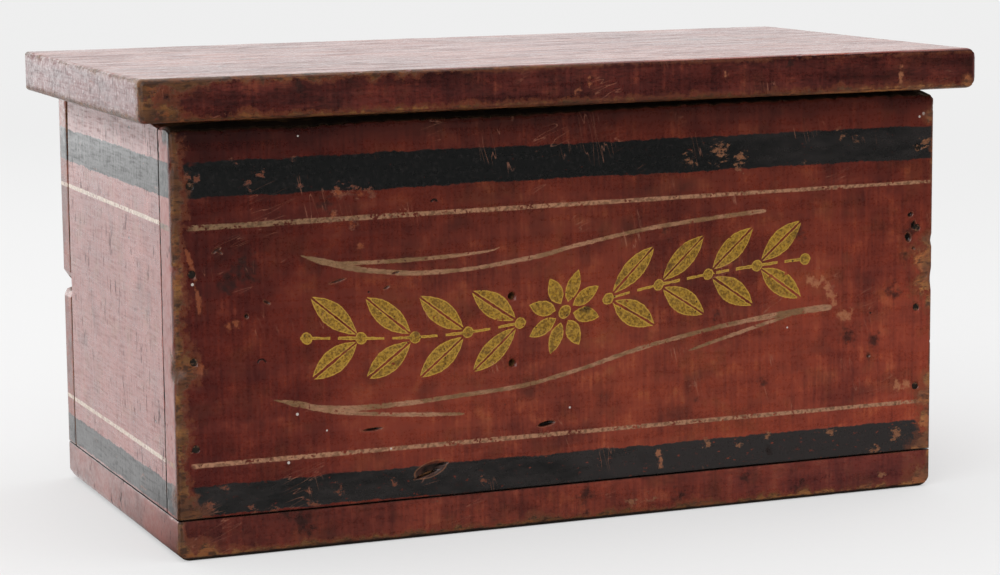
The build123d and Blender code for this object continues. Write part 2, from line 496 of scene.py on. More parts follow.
# %% Where the front board was knocked
# Each mark is x, z, half length, half height, turn in degrees and depth.
front_marks = [
    (-80.5, 35.6, 10.5, 4.6, 17, 1.1), (-82.0, 33.4, 9.0, 1.1, 17, 2.6),
    (-74.5, 37.6, 4.6, 1.0, 12, 1.8), (-111.6, 59.1, 6.6, 0.9, 3, 1.6),
    (-15.6, 54.0, 5.8, 1.5, 9, 2.4), (-192.0, 155.6, 3.4, 0.9, 30, 0.8),
    (-190.6, 155.0, 2.8, 0.9, -38, 0.8), (-166.5, 128.1, 2.6, 1.0, -25, 0.9),
    (-177.2, 121.8, 1.4, 1.5, 0, 1.3), (199.3, 139.4, 2.2, 3.2, 10, 1.6),
    (202.6, 146.0, 1.7, 3.0, -15, 1.5), (200.6, 151.8, 2.2, 1.5, 35, 1.4),
    (202.7, 133.2, 1.3, 1.3, 0, 1.0), (209.5, 117.4, 3.6, 2.6, 20, 1.1),
    (-205.6, 56.2, 2.8, 0.8, 25, 0.8), (-98.0, 138.6, 3.4, 0.8, 12, 0.7),
    (-103.0, 131.4, 2.6, 0.8, 25, 0.7), (-129.0, 136.4, 6.0, 0.7, 14, 0.7),
    (175.4, 75.6, 1.6, 1.0, 40, 0.9),
]
# How far the top edge is worn down at each x.
top_edge = [
    (-215, 7.0), (-209, 6.4), (-199, 5.0), (-178, 4.4), (-147, 5.3), (-110, 4.3), (-40, 4.3), (73, 2.8),
    (193, 2.8), (208, 3.0), (215, 3.4),
]
# Each bite is its middle, its reach along the axes and the way it pushes.
edge_bites = [
    ((-215, -112, 96.6), (8, 8, 6.5), (2.0, 2.2, 0)), ((-213, -112, 98.5), (4, 5, 2.4), (0.4, 1.6, 0)),
    ((-215, -112, 147.0), (6, 6, 2.6), (1.2, 1.3, 0)), ((-215, -112, 70.0), (5, 5, 2.4), (0.7, 0.8, 0)),
    ((215, -112, 137.0), (6, 6, 5.0), (-0.5, 0.9, 0)), ((215, -112, 116.0), (7, 7, 10.0), (-0.5, 1.0, 0)),
    ((215, -112, 81.0), (4, 4, 2.2), (-0.4, 0.6, 0)),
]
print("front board:", len(front_marks), "marks,", len(edge_bites), "bites")

# %% The front board's knocks
front_inside = -92.5
front_thickness = 19.5
face_limit = -110
pressed_limit = -108
mark_margin = 1.5


def near_mark(middle):
    """Whether a point lies on the front face, in a mark or close to one."""
    return middle.y < face_limit and any(
        abs(middle.x - x) < length + mark_margin
        and abs(middle.z - z) < max(length * 0.5, height) + mark_margin
        for x, z, length, height, *_ in front_marks)


def carve_front(mesh, low, high):
    """Corners, the worn top edge, bites and marks of the front board."""
    divided = divide_faces(mesh, near_mark)
    places = places_of(mesh)
    for corner, radius in (({0: 0, 2: 1}, 2.5), ({0: 1, 2: 1}, 3.6)):
        round_corner(places, low, high, corner, radius)
    x, y, z = places.T
    drop = np.interp(x, *zip(*top_edge)) + 0.5 * np.sin(x * 0.71) * np.sin(x * 0.173)
    forward = np.clip((front_inside - y) / front_thickness, 0, 1)
    left_corner = 3.8 * smooth((-180 - x) / 35)
    arched = smooth((-192 - x) / 20) * (1 - np.sqrt(1 - forward ** 2) - forward)
    near_top = smooth((z - 204) / 14)
    z -= (drop * (forward + arched) + left_corner * (1 - forward)) * near_top
    for middle, reach, way in edge_bites:
        bite(places, middle, reach, way)
    y += pressed(x, z, front_marks) * (y < pressed_limit)
    print("front board:", divided, "faces divided")
    return places


print("front board: faces up to", mark_margin, "mm from a mark will be divided")

# %% The other boards' knocks
# How deep the back board's notch is at each height.
notch = [(105.0, 0.0), (108.2, 1.6), (109.8, 6.4), (111.8, 6.2), (114.5, 3.4), (119.5, 0.0)]
# Each corner is its two sides and its radius.
bottom_corners = [({0: 1, 2: 0}, 7.5), ({0: 0, 2: 0}, 6.0), ({1: 1, 2: 0}, 8.0)]
lid_corners = [({0: 1, 2: 0}, 6.5), ({0: 1, 2: 1}, 6.0), ({0: 1, 1: 0}, 2.0)]
pit_count = 26


def carve_back(mesh, *_):
    """A notch in the left edge, steep below and sloping above."""
    divide_faces(mesh, lambda middle: middle.x < -205 and 101 < middle.z < 124)
    places = places_of(mesh)
    x, _, z = places.T
    x += np.interp(z, *zip(*notch)) * smooth((-188 - x) / 25)
    return places


def carve_left_end(mesh, *_):
    """The top, worn down towards the front."""
    places = places_of(mesh)
    _, y, z = places.T
    z -= 4.0 * smooth((-56 - y) / 36) * smooth((z - 200) / 18)
    return places


def carve_bottom(mesh, low, high):
    """Corners that were set down hard."""
    places = places_of(mesh)
    for corner, radius in bottom_corners:
        round_corner(places, low, high, corner, radius)
    return places


def carve_lid(mesh, low, high):
    """Round right end corners, and pits along the left end's top edge."""
    places = places_of(mesh)
    for corner, radius in lid_corners:
        round_corner(places, low, high, corner, radius)
    chance = np.random.default_rng(12)
    for _ in range(pit_count):
        pit_x = low[0] + chance.uniform(0, 2)
        pit_y = chance.uniform(low[1] + 4, high[1] - 8)
        pit_z = high[2] - chance.uniform(0, 2)
        bite(places, (pit_x, pit_y, pit_z), chance.uniform(1.6, 3.6), (0.3, 0, -0.3))
    return places


print("five boards can be knocked about, the lid with", pit_count, "pits")

# %% [markdown]
# ## Where paint is worn
# The paint needs to know where hands and knocks have been. That could be painted by hand; here each point
# of a board gets a few numbers, worked out from its place: how near it is to a rubbed edge, how far in from
# the painted faces, how deep it is pressed, and how near it is to chips, smudges and scuffs seen in the
# photograph.

# %% Numbers on the points
sides = ("-x", "-y", "-z", "+x", "+y", "+z")
unworn = 50.0


def store(mesh, name, values):
    """Keep one number a point, for the paint to read."""
    kept = mesh.attributes.new(name, "FLOAT", "POINT")
    kept.data.foreach_set("value", values.astype(np.float32))


def nearness(places, spots):
    """1 in the middle of each spot of (x, y, z, reach), falling to 0 at its reach."""
    near = np.zeros(len(places))
    for *middle, reach in spots:
        near = np.maximum(near, 1 - np.linalg.norm(places - middle, axis=1) / reach)
    return near


def store_wear(piece, node, rub_low, rub_high, painted, bare_spots=(), seen=None):
    """Rub is below 1 on a worn edge or a bare spot, and inset is the depth from the painted faces."""
    low, high = (np.array(corner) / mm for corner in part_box(node))
    places = places_of(piece.data)
    depths = np.concatenate([places - low, high - places], axis=1)
    worn = depths / np.array([*rub_low, *rub_high])
    rub = np.full(len(places), unworn)
    for first in range(len(sides)):
        for second in range(first + 1, len(sides)):
            if second - first != 3:
                rub = np.minimum(rub, np.hypot(worn[:, first], worn[:, second]))
    for *middle, reach in bare_spots:
        rub = np.minimum(rub, np.linalg.norm(places - middle, axis=1) / reach)
    store(piece.data, "rub", rub)
    store(piece.data, "inset", depths[:, [sides.index(name) for name in painted]].min(axis=1))
    for name, spots in (seen or {}).items():
        store(piece.data, name, nearness(places, spots))
    return places


print("wear can be stored")

# %% [markdown]
# ## Bare wood
# Where the paint has gone, and inside the box, softwood shows. A scanned picture of a board would do, but
# it repeats. Here stretched clouds make the broad streaks and fine pores that run along the board, and
# the growth rings are distances to the heart of the tree, bent by one more cloud.

# %% Wood
heart_height = 118
ring_width = 5.2


def growth_rings(place, grain):
    """Rings round the heart of a tree, which runs along the board through the middle of the box."""
    x, y, z = split(place)
    across, lengthways = (x, y) if grain else (y, x)
    upward = z - heart_height
    wander = noise(place, along(grain, 210, 60), 3.0, 0.45, shift=17.0) * 36
    reach = root(across * across + upward * upward) + lengthways * 0.05 + wander
    year = (reach / ring_width) % 1.0
    return step(year, 0.35, 0.92) * step(year, 1.0, 0.95)


def bare_wood(place, grain, inside):
    """Golden wood on worn edges, paler to the right, and dusty wood inside. Gives colour and pores."""
    x, _, _ = split(place)
    rings = noise(place, along(grain, 240, 8), 3.0, 0.55)
    pores = noise(place, along(grain, 30, 0.8), 3.0, 0.6, shift=4.0)
    stains = noise(place, 17, 3.0, 0.6, shift=9.0)
    blots = noise(place, along(grain, 6.0, 2.4), 4.0, 0.7, shift=11.0)
    ochre = noise(place, 9, 3.0, 0.6, shift=13.0)
    worn = mix(step(rings, 0.36, 0.64), tint(0.094, 0.034, 0.009), tint(0.208, 0.081, 0.018))
    worn = mix(step(ochre, 0.47, 0.60) * 0.75, worn, tint(0.186, 0.052, 0.013))
    worn = mix(step(stains, 0.42, 0.62) * 0.65, worn, tint(0.070, 0.026, 0.012))
    worn = mix(step(blots, 0.48, 0.62) * 0.8, worn, tint(0.034, 0.013, 0.007))
    worn = glaze(step(x, 60, 200), worn, tint(1.75, 1.75, 2.1))
    dusty = mix(step(rings, 0.32, 0.68), tint(0.272, 0.156, 0.079), tint(0.362, 0.224, 0.122))
    dusty = mix(growth_rings(place, grain) * 0.55, dusty, tint(0.190, 0.094, 0.040))
    dusty = mix(step(stains, 0.58, 0.76) * 0.5, dusty, tint(0.085, 0.048, 0.026))
    colour = mix(inside, worn, dusty)
    open_pores = step(pores, 0.55, 0.72) * (0.55 - inside * 0.35)
    return mix(open_pores, colour, tint(0.042, 0.021, 0.011)), pores


print("wood ready, with rings of", ring_width, "mm")

# %% [markdown]
# ## Red paint
# The red is an oil paint that has darkened in clouds, thinned to orange where it was rubbed, and picked
# up soot. It could be one colour with one noise; here three sizes of cloud lie over each other, with
# streaks along the brush and the grain, because old paint varies at every scale.


# %% Paint
def red_paint(place, grain, deep, full, bright):
    """Mottled red between a deep, a full and a bright shade, with soot. Gives colour, grit and streaks."""
    clouds = noise(place, 75, 2.0)
    mottle = noise(place, 14, 4.0, 0.60, shift=3.0)
    fine = noise(place, 1.8, 3.0, 0.55, shift=6.0)
    streaks = noise(place, along(grain, 60, 4.0), 2.0, 0.6, shift=8.0)
    wiped = noise(place, (2.0, 2.0, 42), 3.0, 0.6, shift=10.0)
    age = noise(place, 19, 3.0, 0.6, shift=14.0)
    soot = noise(place, 26, 3.0, 0.56, shift=12.0)
    weights = ((clouds, 0.7), (mottle, 0.55), (fine, 0.22), (streaks, 0.18), (wiped, 0.40))
    level = sum(sway(cloud, weight) for cloud, weight in weights)
    colour = mix(step(level, -0.26, 0.20), deep, full)
    colour = mix(step(mottle + sway(wiped, 0.3) + level * 0.3, 0.56, 0.80) * 0.55, colour, bright)
    colour = glaze(step(age, 0.50, 0.68) * 0.55, colour, tint(0.90, 1.30, 1.05))
    return mix(step(soot, 0.54, 0.76) * 0.45, colour, tint(0.034, 0.012, 0.009)), fine, streaks


def scratches(place, turn, shift, rarity):
    """Thin lines where a stretched cloud crosses its middle, kept only here and there."""
    inputs = {"Vector": place, "Angle": turn}
    turned = place.node("ShaderNodeVectorRotate", {"rotation_type": "Y_AXIS"}, inputs)
    level = noise(turned, (34, 34, 3.2), 1.0, shift=shift)
    kept = step(noise(place, 26, 1.0, shift=shift + 5), rarity, rarity + 0.05)
    return step(abs(level - 0.5), 0.013, 0.004) * kept


print("paint ready")

# %% [markdown]
# ## Bands and lines
# A black band and a cream line run round the box above and below, laid on with a broad and a thin brush.
# Their edges wander a little and have chipped. Strips of mesh could carry them; here each is a test of
# height with noise added to it, which takes it round the corners without any seam.

# %% Bands and lines
# A band is the height of its middle and half its width.
upper_band = (191.0, 9.0)
lower_band = (30.2, 7.8)
line_half_width = 1.15
upper_line_height = 168.3
upper_line_rise = 0.005
lower_line_height = 48.2


def ragged(place, slow, fast):
    """How far a brushed edge strays, in mm."""
    return sway(noise(place, 16, 2.0, shift=21.0), slow) + sway(noise(place, 2.6, 2.0, shift=23.0), fast)


def band(height, place, spec, ends):
    """A black band about a height, limited by a mask of where it ends."""
    middle, half = spec
    stray = ragged(place, 3.0, 1.8)
    return step(half + stray - abs(height - middle), -0.3, 0.4) * ends


def line(height, place, middle, half, ends):
    """A thin cream line whose paint has gone grainy and left gaps."""
    stray = ragged(place, 1.2, 1.0)
    cover = noise(place, 1.5, 2.0, shift=31.0) + sway(noise(place, 9, 2.0, shift=33.0), 0.7)
    return step(half + stray * 0.5 - abs(height - middle), -0.25, 0.3) * step(cover, 0.30, 0.42) * ends


print("bands and lines ready")

# %% [markdown]
# ## Brushed flourishes
# On the front two pairs of long brush strokes swing up to the right, and a short one joins the lower pair.
# They could be thin pieces of mesh, but paint has no thickness that shows. So each stroke is a mask that
# follows two Float Curves, one for its height and one for its width.


# %% Strokes
def traced(x, points):
    """A height that follows points of (x, height), through a Float Curve."""
    first, last = points[0][0], points[-1][0]
    heights = [height for _, height in points]
    low, high = min(heights), max(heights)
    shares = [((px - first) / (last - first), (height - low) / (high - low)) for px, height in points]
    run = x.node("ShaderNodeMapRange", inputs={"Value": x, "From Min": first, "From Max": last})
    return run.node("ShaderNodeFloatCurve", {"curve": shares}, {"Value": run}) * (high - low) + low


def stroke(x, z, path, widths, stray):
    """A brush stroke along a path, as wide as its half widths say; a width below 0 ends it."""
    return step(traced(x, widths) * 0.85 + stray - abs(z - traced(x, path)), -0.25, 0.3)


print("strokes ready")

# %% The flourishes
# Paths are points of x and height, and widths are half widths at each x.
upper_path = [
    (-149, 150.6), (-132, 145.4), (-106, 139.8), (-79, 137.6), (-30, 141.0), (4, 147.0), (53, 154.2),
    (113, 158.8),
]
upper_widths = [
    (-149, -0.6), (-145, 0.7), (-130, 1.9), (-110, 1.5), (0, 1.25), (108, 1.2), (112, 0.9), (113, -0.6),
]
fork_path = [(-140, 146.9), (-124, 145.0), (-79, 145.0), (-40, 148.9)]
fork_widths = [(-140, -0.6), (-132, 1.0), (-110, 1.2), (-60, 1.1), (-46, 0.7), (-40, -0.6)]
lower_path = [
    (-165, 78.6), (-150, 75.0), (-137, 71.8), (-126, 70.9), (-97, 71.0), (-69, 72.5), (-30, 75.2),
    (-6, 79.4), (53, 92.8), (126, 102.8), (153, 104.2),
]
lower_widths = [
    (-165, -0.6), (-160, 0.8), (-138, 2.0), (-110, 1.6), (0, 1.3), (100, 1.5), (140, 2.1), (152, 1.7),
    (153, -0.6),
]
tail_path = [(-140, 70.6), (-126, 68.8), (-97, 65.6), (-61, 63.0)]
tail_widths = [(-140, -0.6), (-130, 0.9), (-97, 1.2), (-66, 1.0), (-61, -0.6)]
twig_path = [(66, 86.6), (90, 92.6), (110, 97.6), (130, 101.8)]
twig_widths = [(66, -0.6), (70, 0.9), (100, 1.2), (124, 0.8), (130, -0.6)]
flourishes = [
    (upper_path, upper_widths), (fork_path, fork_widths), (lower_path, lower_widths),
    (tail_path, tail_widths), (twig_path, twig_widths),
]
print("flourishes:", len(flourishes), "strokes")

# %% [markdown]
# ## A gilt garland
# Between the flourishes goes a plain band of gilding, as painters dabbed it on through a stencil: pairs of
# leaves on a stem, to both sides of a rosette. A flat mesh or a picture could show it, but a picture blurs
# close up. Here one leaf, one berry and one petal are depths in millimetres, and a modulo repeats them
# along a Float Curve. The depth also tells where the edge is, which has brighter gilding.

# %% Garland
garland_path = [
    (-160, 109.5), (-132, 107.5), (-79, 104.8), (-30, 108.2), (12, 116.0), (53, 123.5), (112, 130.0),
    (150, 132.0),
]
garland_middle = -5.0
rosette_reach = 25.0
petal_middle = 13.2
petal_turn = math.tau / 8
leaf_pitch = 29.0
leaf_count = 4
leaf_height = 11.5
leaf_lean = math.radians(38)
leaf_gap = 0.6
berry_radius = 3.1
stem_half = 0.8
branch_margin = 3.4


def leaf(lengthwise, across, length, half_width):
    """How far a point lies inside a pointed leaf, in mm."""
    return half_width - lengthwise * lengthwise * (half_width / length ** 2) - abs(across)


def rosette(run, rise):
    """Depth inside eight petals round a dot."""
    away = root(run * run + rise * rise)
    turn = run.math("ARCTAN2", rise, run)
    petal_angle = (turn % petal_turn) - petal_turn / 2
    petal_side = away * petal_angle.math("SINE", petal_angle)
    return leaf(away - petal_middle, petal_side, 8.2, 4.0).most(3.6 - away)


def branch(run, rise):
    """Depth inside pairs of leaves on a stem, with a berry between each two pairs."""
    out = abs(run)
    last = rosette_reach + leaf_pitch * leaf_count
    cell = ((out - rosette_reach) % leaf_pitch) - leaf_pitch / 2
    off = abs(rise) - leaf_height
    lengthwise = cell * math.cos(leaf_lean) + off * math.sin(leaf_lean)
    across = off * math.cos(leaf_lean) - cell * math.sin(leaf_lean)
    leaves = leaf(lengthwise, across, 15.5, 6.2).least(abs(across) - 0.45)
    leaves = leaves.least(out - rosette_reach - leaf_gap).least(last - leaf_gap - out)
    berry_run = abs(cell) - leaf_pitch / 2
    berries = berry_radius - root(berry_run * berry_run + rise * rise)
    stem = (stem_half - abs(rise)).least(abs(cell) - 2.0)
    whole = leaves.most(berries).most(stem)
    return whole.least(out - rosette_reach + branch_margin).least(last + branch_margin - out)


def garland(x, z):
    """Depth inside the gilt stencil."""
    rise = z - traced(x, garland_path)
    run = x - garland_middle
    return rosette(run, rise).most(branch(run, rise))


print("garland of", leaf_count * 4, "leaves")

# %% [markdown]
# ## Small damage
# Chips, dents and flecks are what makes the paint look its age. They could be placed one by one, but there
# are hundreds. A Voronoi pattern scatters single marks, each with random numbers of its own, so a share of
# its cells can be picked and sized. Places where the real box is badly chipped raise the chance of a chip.


# %% Scattered marks
def scattered(place, spacing, shift):
    """One random spot in each cell: distance to it in mm, two random numbers, and height above it in mm."""
    scaled = vector("MULTIPLY_ADD", place, (1 / spacing,) * 3, (shift,) * 3)
    inputs = {"Vector": scaled, "Scale": 1.0}
    outputs = ("Distance", "Color", "Position")
    away, hue, middle = scaled.node("ShaderNodeTexVoronoi", inputs=inputs, output=outputs)
    chance, size = hue.node("ShaderNodeSeparateColor", inputs={0: hue}, output=(0, 1))
    _, _, above = split(vector("SUBTRACT", scaled, middle))
    return away * spacing, chance, size, above * spacing


def specks(place, spacing, shift, keep, size):
    """Small round spots in a share of the cells."""
    away, chance, more, _ = scattered(place, spacing, shift)
    return step(away - more * size * 0.6, size, size * 0.5) * step(chance, keep, keep - 0.01)


def crescents(place, spacing, shift, keep):
    """Lifted arcs, as a blunt corner leaves when it is knocked into paint."""
    away, chance, more, above = scattered(place, spacing, shift)
    arc = step(abs(away - 1.4 - more * 1.6), 0.55, 0.2) * step(above, 0.1, 0.7)
    return arc * step(chance, keep, keep - 0.01)


def dots(place, listed):
    """Listed round dots on the front, each of (x, z, radius)."""
    flat = vector("MULTIPLY", place, (1.0, 0.0, 1.0))
    found = []
    for dot_x, dot_z, radius in listed:
        inputs = {0: flat, 1: (dot_x, 0, dot_z)}
        away = flat.node("ShaderNodeVectorMath", {"operation": "DISTANCE"}, inputs, output="Value")
        found.append(step(away, radius, radius * 0.6))
    return union(found)


print("scattered marks ready")

# %% [markdown]
# ## Decoration of the front and of the other walls
# The front has the bands, the lines, the flourishes and the garland. The ends and the back carry the
# bands and lines round, which the left end shows. Each could be a decal, but a decal has seams, so each
# function lays its paint over the colour that it is given.

# %% Bands and lines on a wall
black = tint(0.0072, 0.0076, 0.0074)
worn_black = tint(0.0270, 0.0225, 0.0215)


def loose_paint(place):
    """High where the black paint has flaked off."""
    return noise(place, (4.4, 4.4, 2.4), 5.0, 0.74, shift=49.0)


def lay_bands(place, colour, bands, lines, creams, age, flaked):
    """Black bands of (middle and half height, ends) and cream lines of (middle, half width, ends)."""
    _, _, height = split(place)
    tone = noise(place, (26, 26, 9), 5.0, 0.70, shift=41.0)
    # Greyer black in clouds and with the age given; greyer lower down is also painted light from the floor.
    faded_and_lit = step(tone * 0.4 + 0.3 + step(height, 110, 50) * 0.20 + age, 0.50, 0.72)
    dusty = faded_and_lit.most(step(noise(place, 1.9, 4.0, 0.72, shift=45.0), 0.48, 0.74) * 0.60)
    dusty_and_lit_black = mix(dusty, black, worn_black)
    for spec, ends in bands:
        colour = mix(band(height, place, spec, ends) * (1 - flaked), colour, dusty_and_lit_black)
    grainy_cream = mix(step(noise(place, 2.0, 2.0, shift=43.0), 0.35, 0.6), *creams)
    for middle, half, ends in lines:
        colour = mix(line(height, place, middle, half, ends), colour, grainy_cream)
    return colour


def wall_decoration(place, colour):
    """Bands and lines only."""
    faded_creams = (tint(0.42, 0.32, 0.24), tint(0.60, 0.48, 0.38))
    bands = [(upper_band, 1.0), (lower_band, 1.0)]
    lines = [(upper_line_height, line_half_width, 1.0), (lower_line_height, line_half_width, 1.0)]
    flaked = step(loose_paint(place), 0.66, 0.70) * 0.75
    return lay_bands(place, colour, bands, lines, faded_creams, 0.0, flaked)


print("bands can be laid")

# %% Bands and lines on the front
cream = tint(0.320, 0.153, 0.084)
dull_cream = tint(0.165, 0.076, 0.039)
upper_left_cream = tint(0.185, 0.104, 0.053)
upper_left_dull_cream = tint(0.100, 0.052, 0.025)


def front_end_grain(y):
    """Where the front board shows end grain, behind its face."""
    return step(y, -110.0, -107.5)


def front_bands(place, colour, darker_upper_left):
    """The front's bands and lines, ragged at the left, the lower band blunt at the right."""
    x, y, z = split(place)
    end_grain = front_end_grain(y)
    frayed = sway(noise(place, 13, 3.0, 0.6, shift=47.0), 34)
    upper_ends = step(x + frayed, -209, -206).most(end_grain)
    sag = step(x, -120, -20) * 0.9
    lower = (lower_band[0] - sag, sag + lower_band[1])
    blunt = (x - 203).most(0.0)
    rounded = step(blunt * blunt * 0.25 + abs(z - lower[0]) - lower[1], 1.4, -0.4)
    lower_ends = (step(x + frayed * 0.2, -207.5, -205) * rounded).most(end_grain)
    line_ends = (step(x + frayed * 0.3, -208, -205) * step(x + frayed * 0.1, 214, 212)).most(end_grain)
    bands = [(upper_band, upper_ends), (lower, lower_ends)]
    lines = [
        (x * upper_line_rise + upper_line_height, line_half_width - x * 0.0011, line_ends),
        (lower_line_height, line_half_width - x * 0.0004, line_ends),
    ]
    creams = (mix(darker_upper_left, dull_cream, upper_left_dull_cream), mix(darker_upper_left, cream, upper_left_cream))
    age = step(x, -80, 210) * 0.22 - 0.09
    loose = loose_paint(place) + step(z, 110, 50) * 0.035
    return lay_bands(place, colour, bands, lines, creams, age, step(loose, 0.655, 0.68) * 0.85)


print("front bands can be laid")


# %% Flourishes and garland on the front
def lay_flourishes(place, colour, darker_upper_left):
    """Brush strokes with thin spots and bristle marks."""
    x, _, z = split(place)
    stray = ragged(place, 0.8, 0.9)
    strokes = union([stroke(x, z, path, widths, stray) for path, widths in flourishes])
    cover = noise(place, 1.7, 2.0, shift=51.0) + sway(noise(place, 12, 2.0, shift=53.0), 0.5)
    shade = mix(step(noise(place, 14, 2.0, shift=55.0), 0.4, 0.62), tint(0.190, 0.092, 0.040), cream)
    shade = mix(darker_upper_left * 0.8, shade, tint(0.170, 0.104, 0.047))
    bristles = noise(place, (2.6, 2.6, 0.8), 3.0, 0.7, shift=52.0)
    shade = mix(step(bristles, 0.44, 0.64) * 0.45, shade, tint(0.082, 0.041, 0.017))
    return mix(strokes * step(cover, 0.26, 0.40), colour, shade)


def lay_garland(place, colour):
    """Gilding, grainy and flaked, brighter along the stencil's edge."""
    x, _, z = split(place)
    depth = garland(x, z) + ragged(place, 0.9, 0.9)
    flaked = step(noise(place, 4.5, 3.0, 0.65, shift=57.0), 0.66, 0.70)
    gilt = step(depth, -0.1, 0.3) * (1 - flaked)
    grains = noise(place, 1.3, 2.0, 0.7, shift=59.0)
    gold = mix(step(grains, 0.34, 0.64), tint(0.140, 0.068, 0.008), tint(0.325, 0.180, 0.018))
    gold = mix(step(depth, 0.9, 0.3) * 0.8, gold, tint(0.440, 0.258, 0.034))
    thin = step(noise(place, 7.0, 3.0, 0.6, shift=58.0), 0.58, 0.72)
    gold = mix(thin * 0.7, gold, tint(0.085, 0.034, 0.010))
    gold = mix(specks(place, 3.4, 7.3, 0.30, 0.45), gold, tint(0.05, 0.025, 0.010))
    return mix(gilt, colour, gold)


def front_decoration(place, colour):
    """Bands, lines, flourishes and garland, darker towards the upper left."""
    x, _, z = split(place)
    darker_upper_left = step(x, -20, -200) * step(z, 50, 120)
    colour = front_bands(place, colour, darker_upper_left)
    colour = lay_flourishes(place, colour, darker_upper_left)
    return lay_garland(place, colour)


print("decoration ready")

# %% [markdown]
# ## The finish of a painted board
# One colour with a bump would look new. This finish is built up as the real one was, from below: wood, red
# paint, decoration, chips down to the orange undercoat, scratches and dents, and last the edges that hands
# have rubbed back to wood. Height goes to a Bump node in millimetres: grain shows through the paint, chips
# lie lower, and dents lower still.


# %% Start and end of a finish
def start_finish(name):
    """A new material, with the piece's own coordinates in mm."""
    material = bpy.data.materials.new(name)
    material.use_nodes = True
    material.node_tree.nodes.clear()
    own = Shade(material.node_tree).node("ShaderNodeTexCoord", output="Object")
    return material, stretched(own, 1 / mm)


def end_finish(colour, roughness, height, **others):
    """Join colour, roughness and height in one Principled shader."""
    bump = colour.node("ShaderNodeBump", inputs={"Strength": 1.0, "Distance": mm, "Height": height})
    sockets = {"Base Color": colour, "Roughness": roughness, "Normal": bump, **others}
    shader = colour.node("ShaderNodeBsdfPrincipled", inputs=sockets)
    colour.node("ShaderNodeOutputMaterial", inputs={"Surface": shader}, output=None)


def stored(place, name):
    """A number that the board's points keep."""
    return place.node("ShaderNodeAttribute", {"attribute_name": name}, output="Fac")


print("finishes can be started and ended")


# %% Chips, scuffs and dents
def chipped(place, grain, colour, fine):
    """Paint with chips that show the undercoat. Gives the colour and the chips."""
    x, _, _ = split(place)
    chip = stored(place, "chip")
    flaking = noise(place, along(grain, 5.0, 3.0), 6.0, 0.76, shift=62.0)
    chips = step(flaking + chip * 0.27, 0.69, 0.75)
    pale = step(flaking + sway(fine, 0.6) + chip * 0.3, 0.52, 0.82)
    palest = mix(step(x, 60, -60), tint(0.215, 0.088, 0.040), tint(0.150, 0.045, 0.022))
    bare_red = mix(pale, tint(0.070, 0.019, 0.011), palest)
    return mix(chips * 0.85, colour, bare_red), chips


def scuffed(place, colour):
    """Paint with rubbed, lighter scuffs and thin scratches."""
    x, _, _ = split(place)
    scuff = stored(place, "scuff")
    patchy = sway(noise(place, 2.4, 3.0, 0.7, shift=63.0), 1.7)
    scuffs = step(scuff + patchy, 0.35, 0.75) * step(scuff, 0.0, 0.2)
    rubbed = mix(step(x, -60, 100), tint(0.230, 0.062, 0.022), tint(0.345, 0.130, 0.058))
    colour = mix(scuffs * 0.70, colour, rubbed)
    marks = scratches(place, 0.35, 2.0, 0.64).most(scratches(place, -1.35, 11.0, 0.62))
    return mix(marks * 0.45, colour, tint(0.28, 0.110, 0.064))


def dented(place, colour):
    """Paint with pressed marks: dull inside, black where they are deep, and pale at the rim."""
    dent = stored(place, "dent")
    dent = dent + sway(noise(place, 3.0, 3.0, 0.6, shift=64.0), step(dent, 0.02, 0.6)) * 0.9
    colour = mix(step(dent, 0.12, 0.55) * 0.75, colour, tint(0.050, 0.017, 0.010))
    colour = mix(step(dent, 0.75, 1.35), colour, tint(0.006, 0.004, 0.003))
    rim = step(dent, 0.02, 0.10) * step(dent, 0.35, 0.14)
    return mix(rim * 0.55, colour, tint(0.21, 0.080, 0.036))


print("chips, scuffs and dents ready")


# %% All damage to paint
def damage(place, grain, colour, fine, fleck_spots):
    """Smudges, chips, scuffs, dents and flecks over the paint. Gives colour and how low each place lies."""
    fray = sway(noise(place, 4.5, 5.0, 0.70, shift=61.0), 2.0)
    smudge = stored(place, "smudge")
    smudges = step(smudge * 0.8 + fray, 0.30, 0.85) * step(smudge, 0.0, 0.3)
    colour = mix(smudges * 0.75, colour, tint(0.017, 0.0085, 0.007))
    colour, chips = chipped(place, grain, colour, fine)
    colour = scuffed(place, colour)
    pits = specks(place, 24.0, 3.7, 0.20, 0.75)
    arcs = crescents(place, 46.0, 5.9, 0.26)
    ticks = specks(place, 11.0, 6.6, 0.22, 0.42)
    colour = mix(pits.most(arcs).most(ticks * 0.7) * 0.9, colour, tint(0.008, 0.005, 0.004))
    colour = dented(place, colour)
    flecks = specks(place, 40.0, 9.1, 0.10, 0.55)
    if fleck_spots:
        flecks = flecks.most(dots(place, fleck_spots))
    colour = mix(flecks * 0.85, colour, tint(0.50, 0.46, 0.42))
    return colour, chips * 0.05 + pits * 0.3 + arcs * 0.25


print("damage ready")


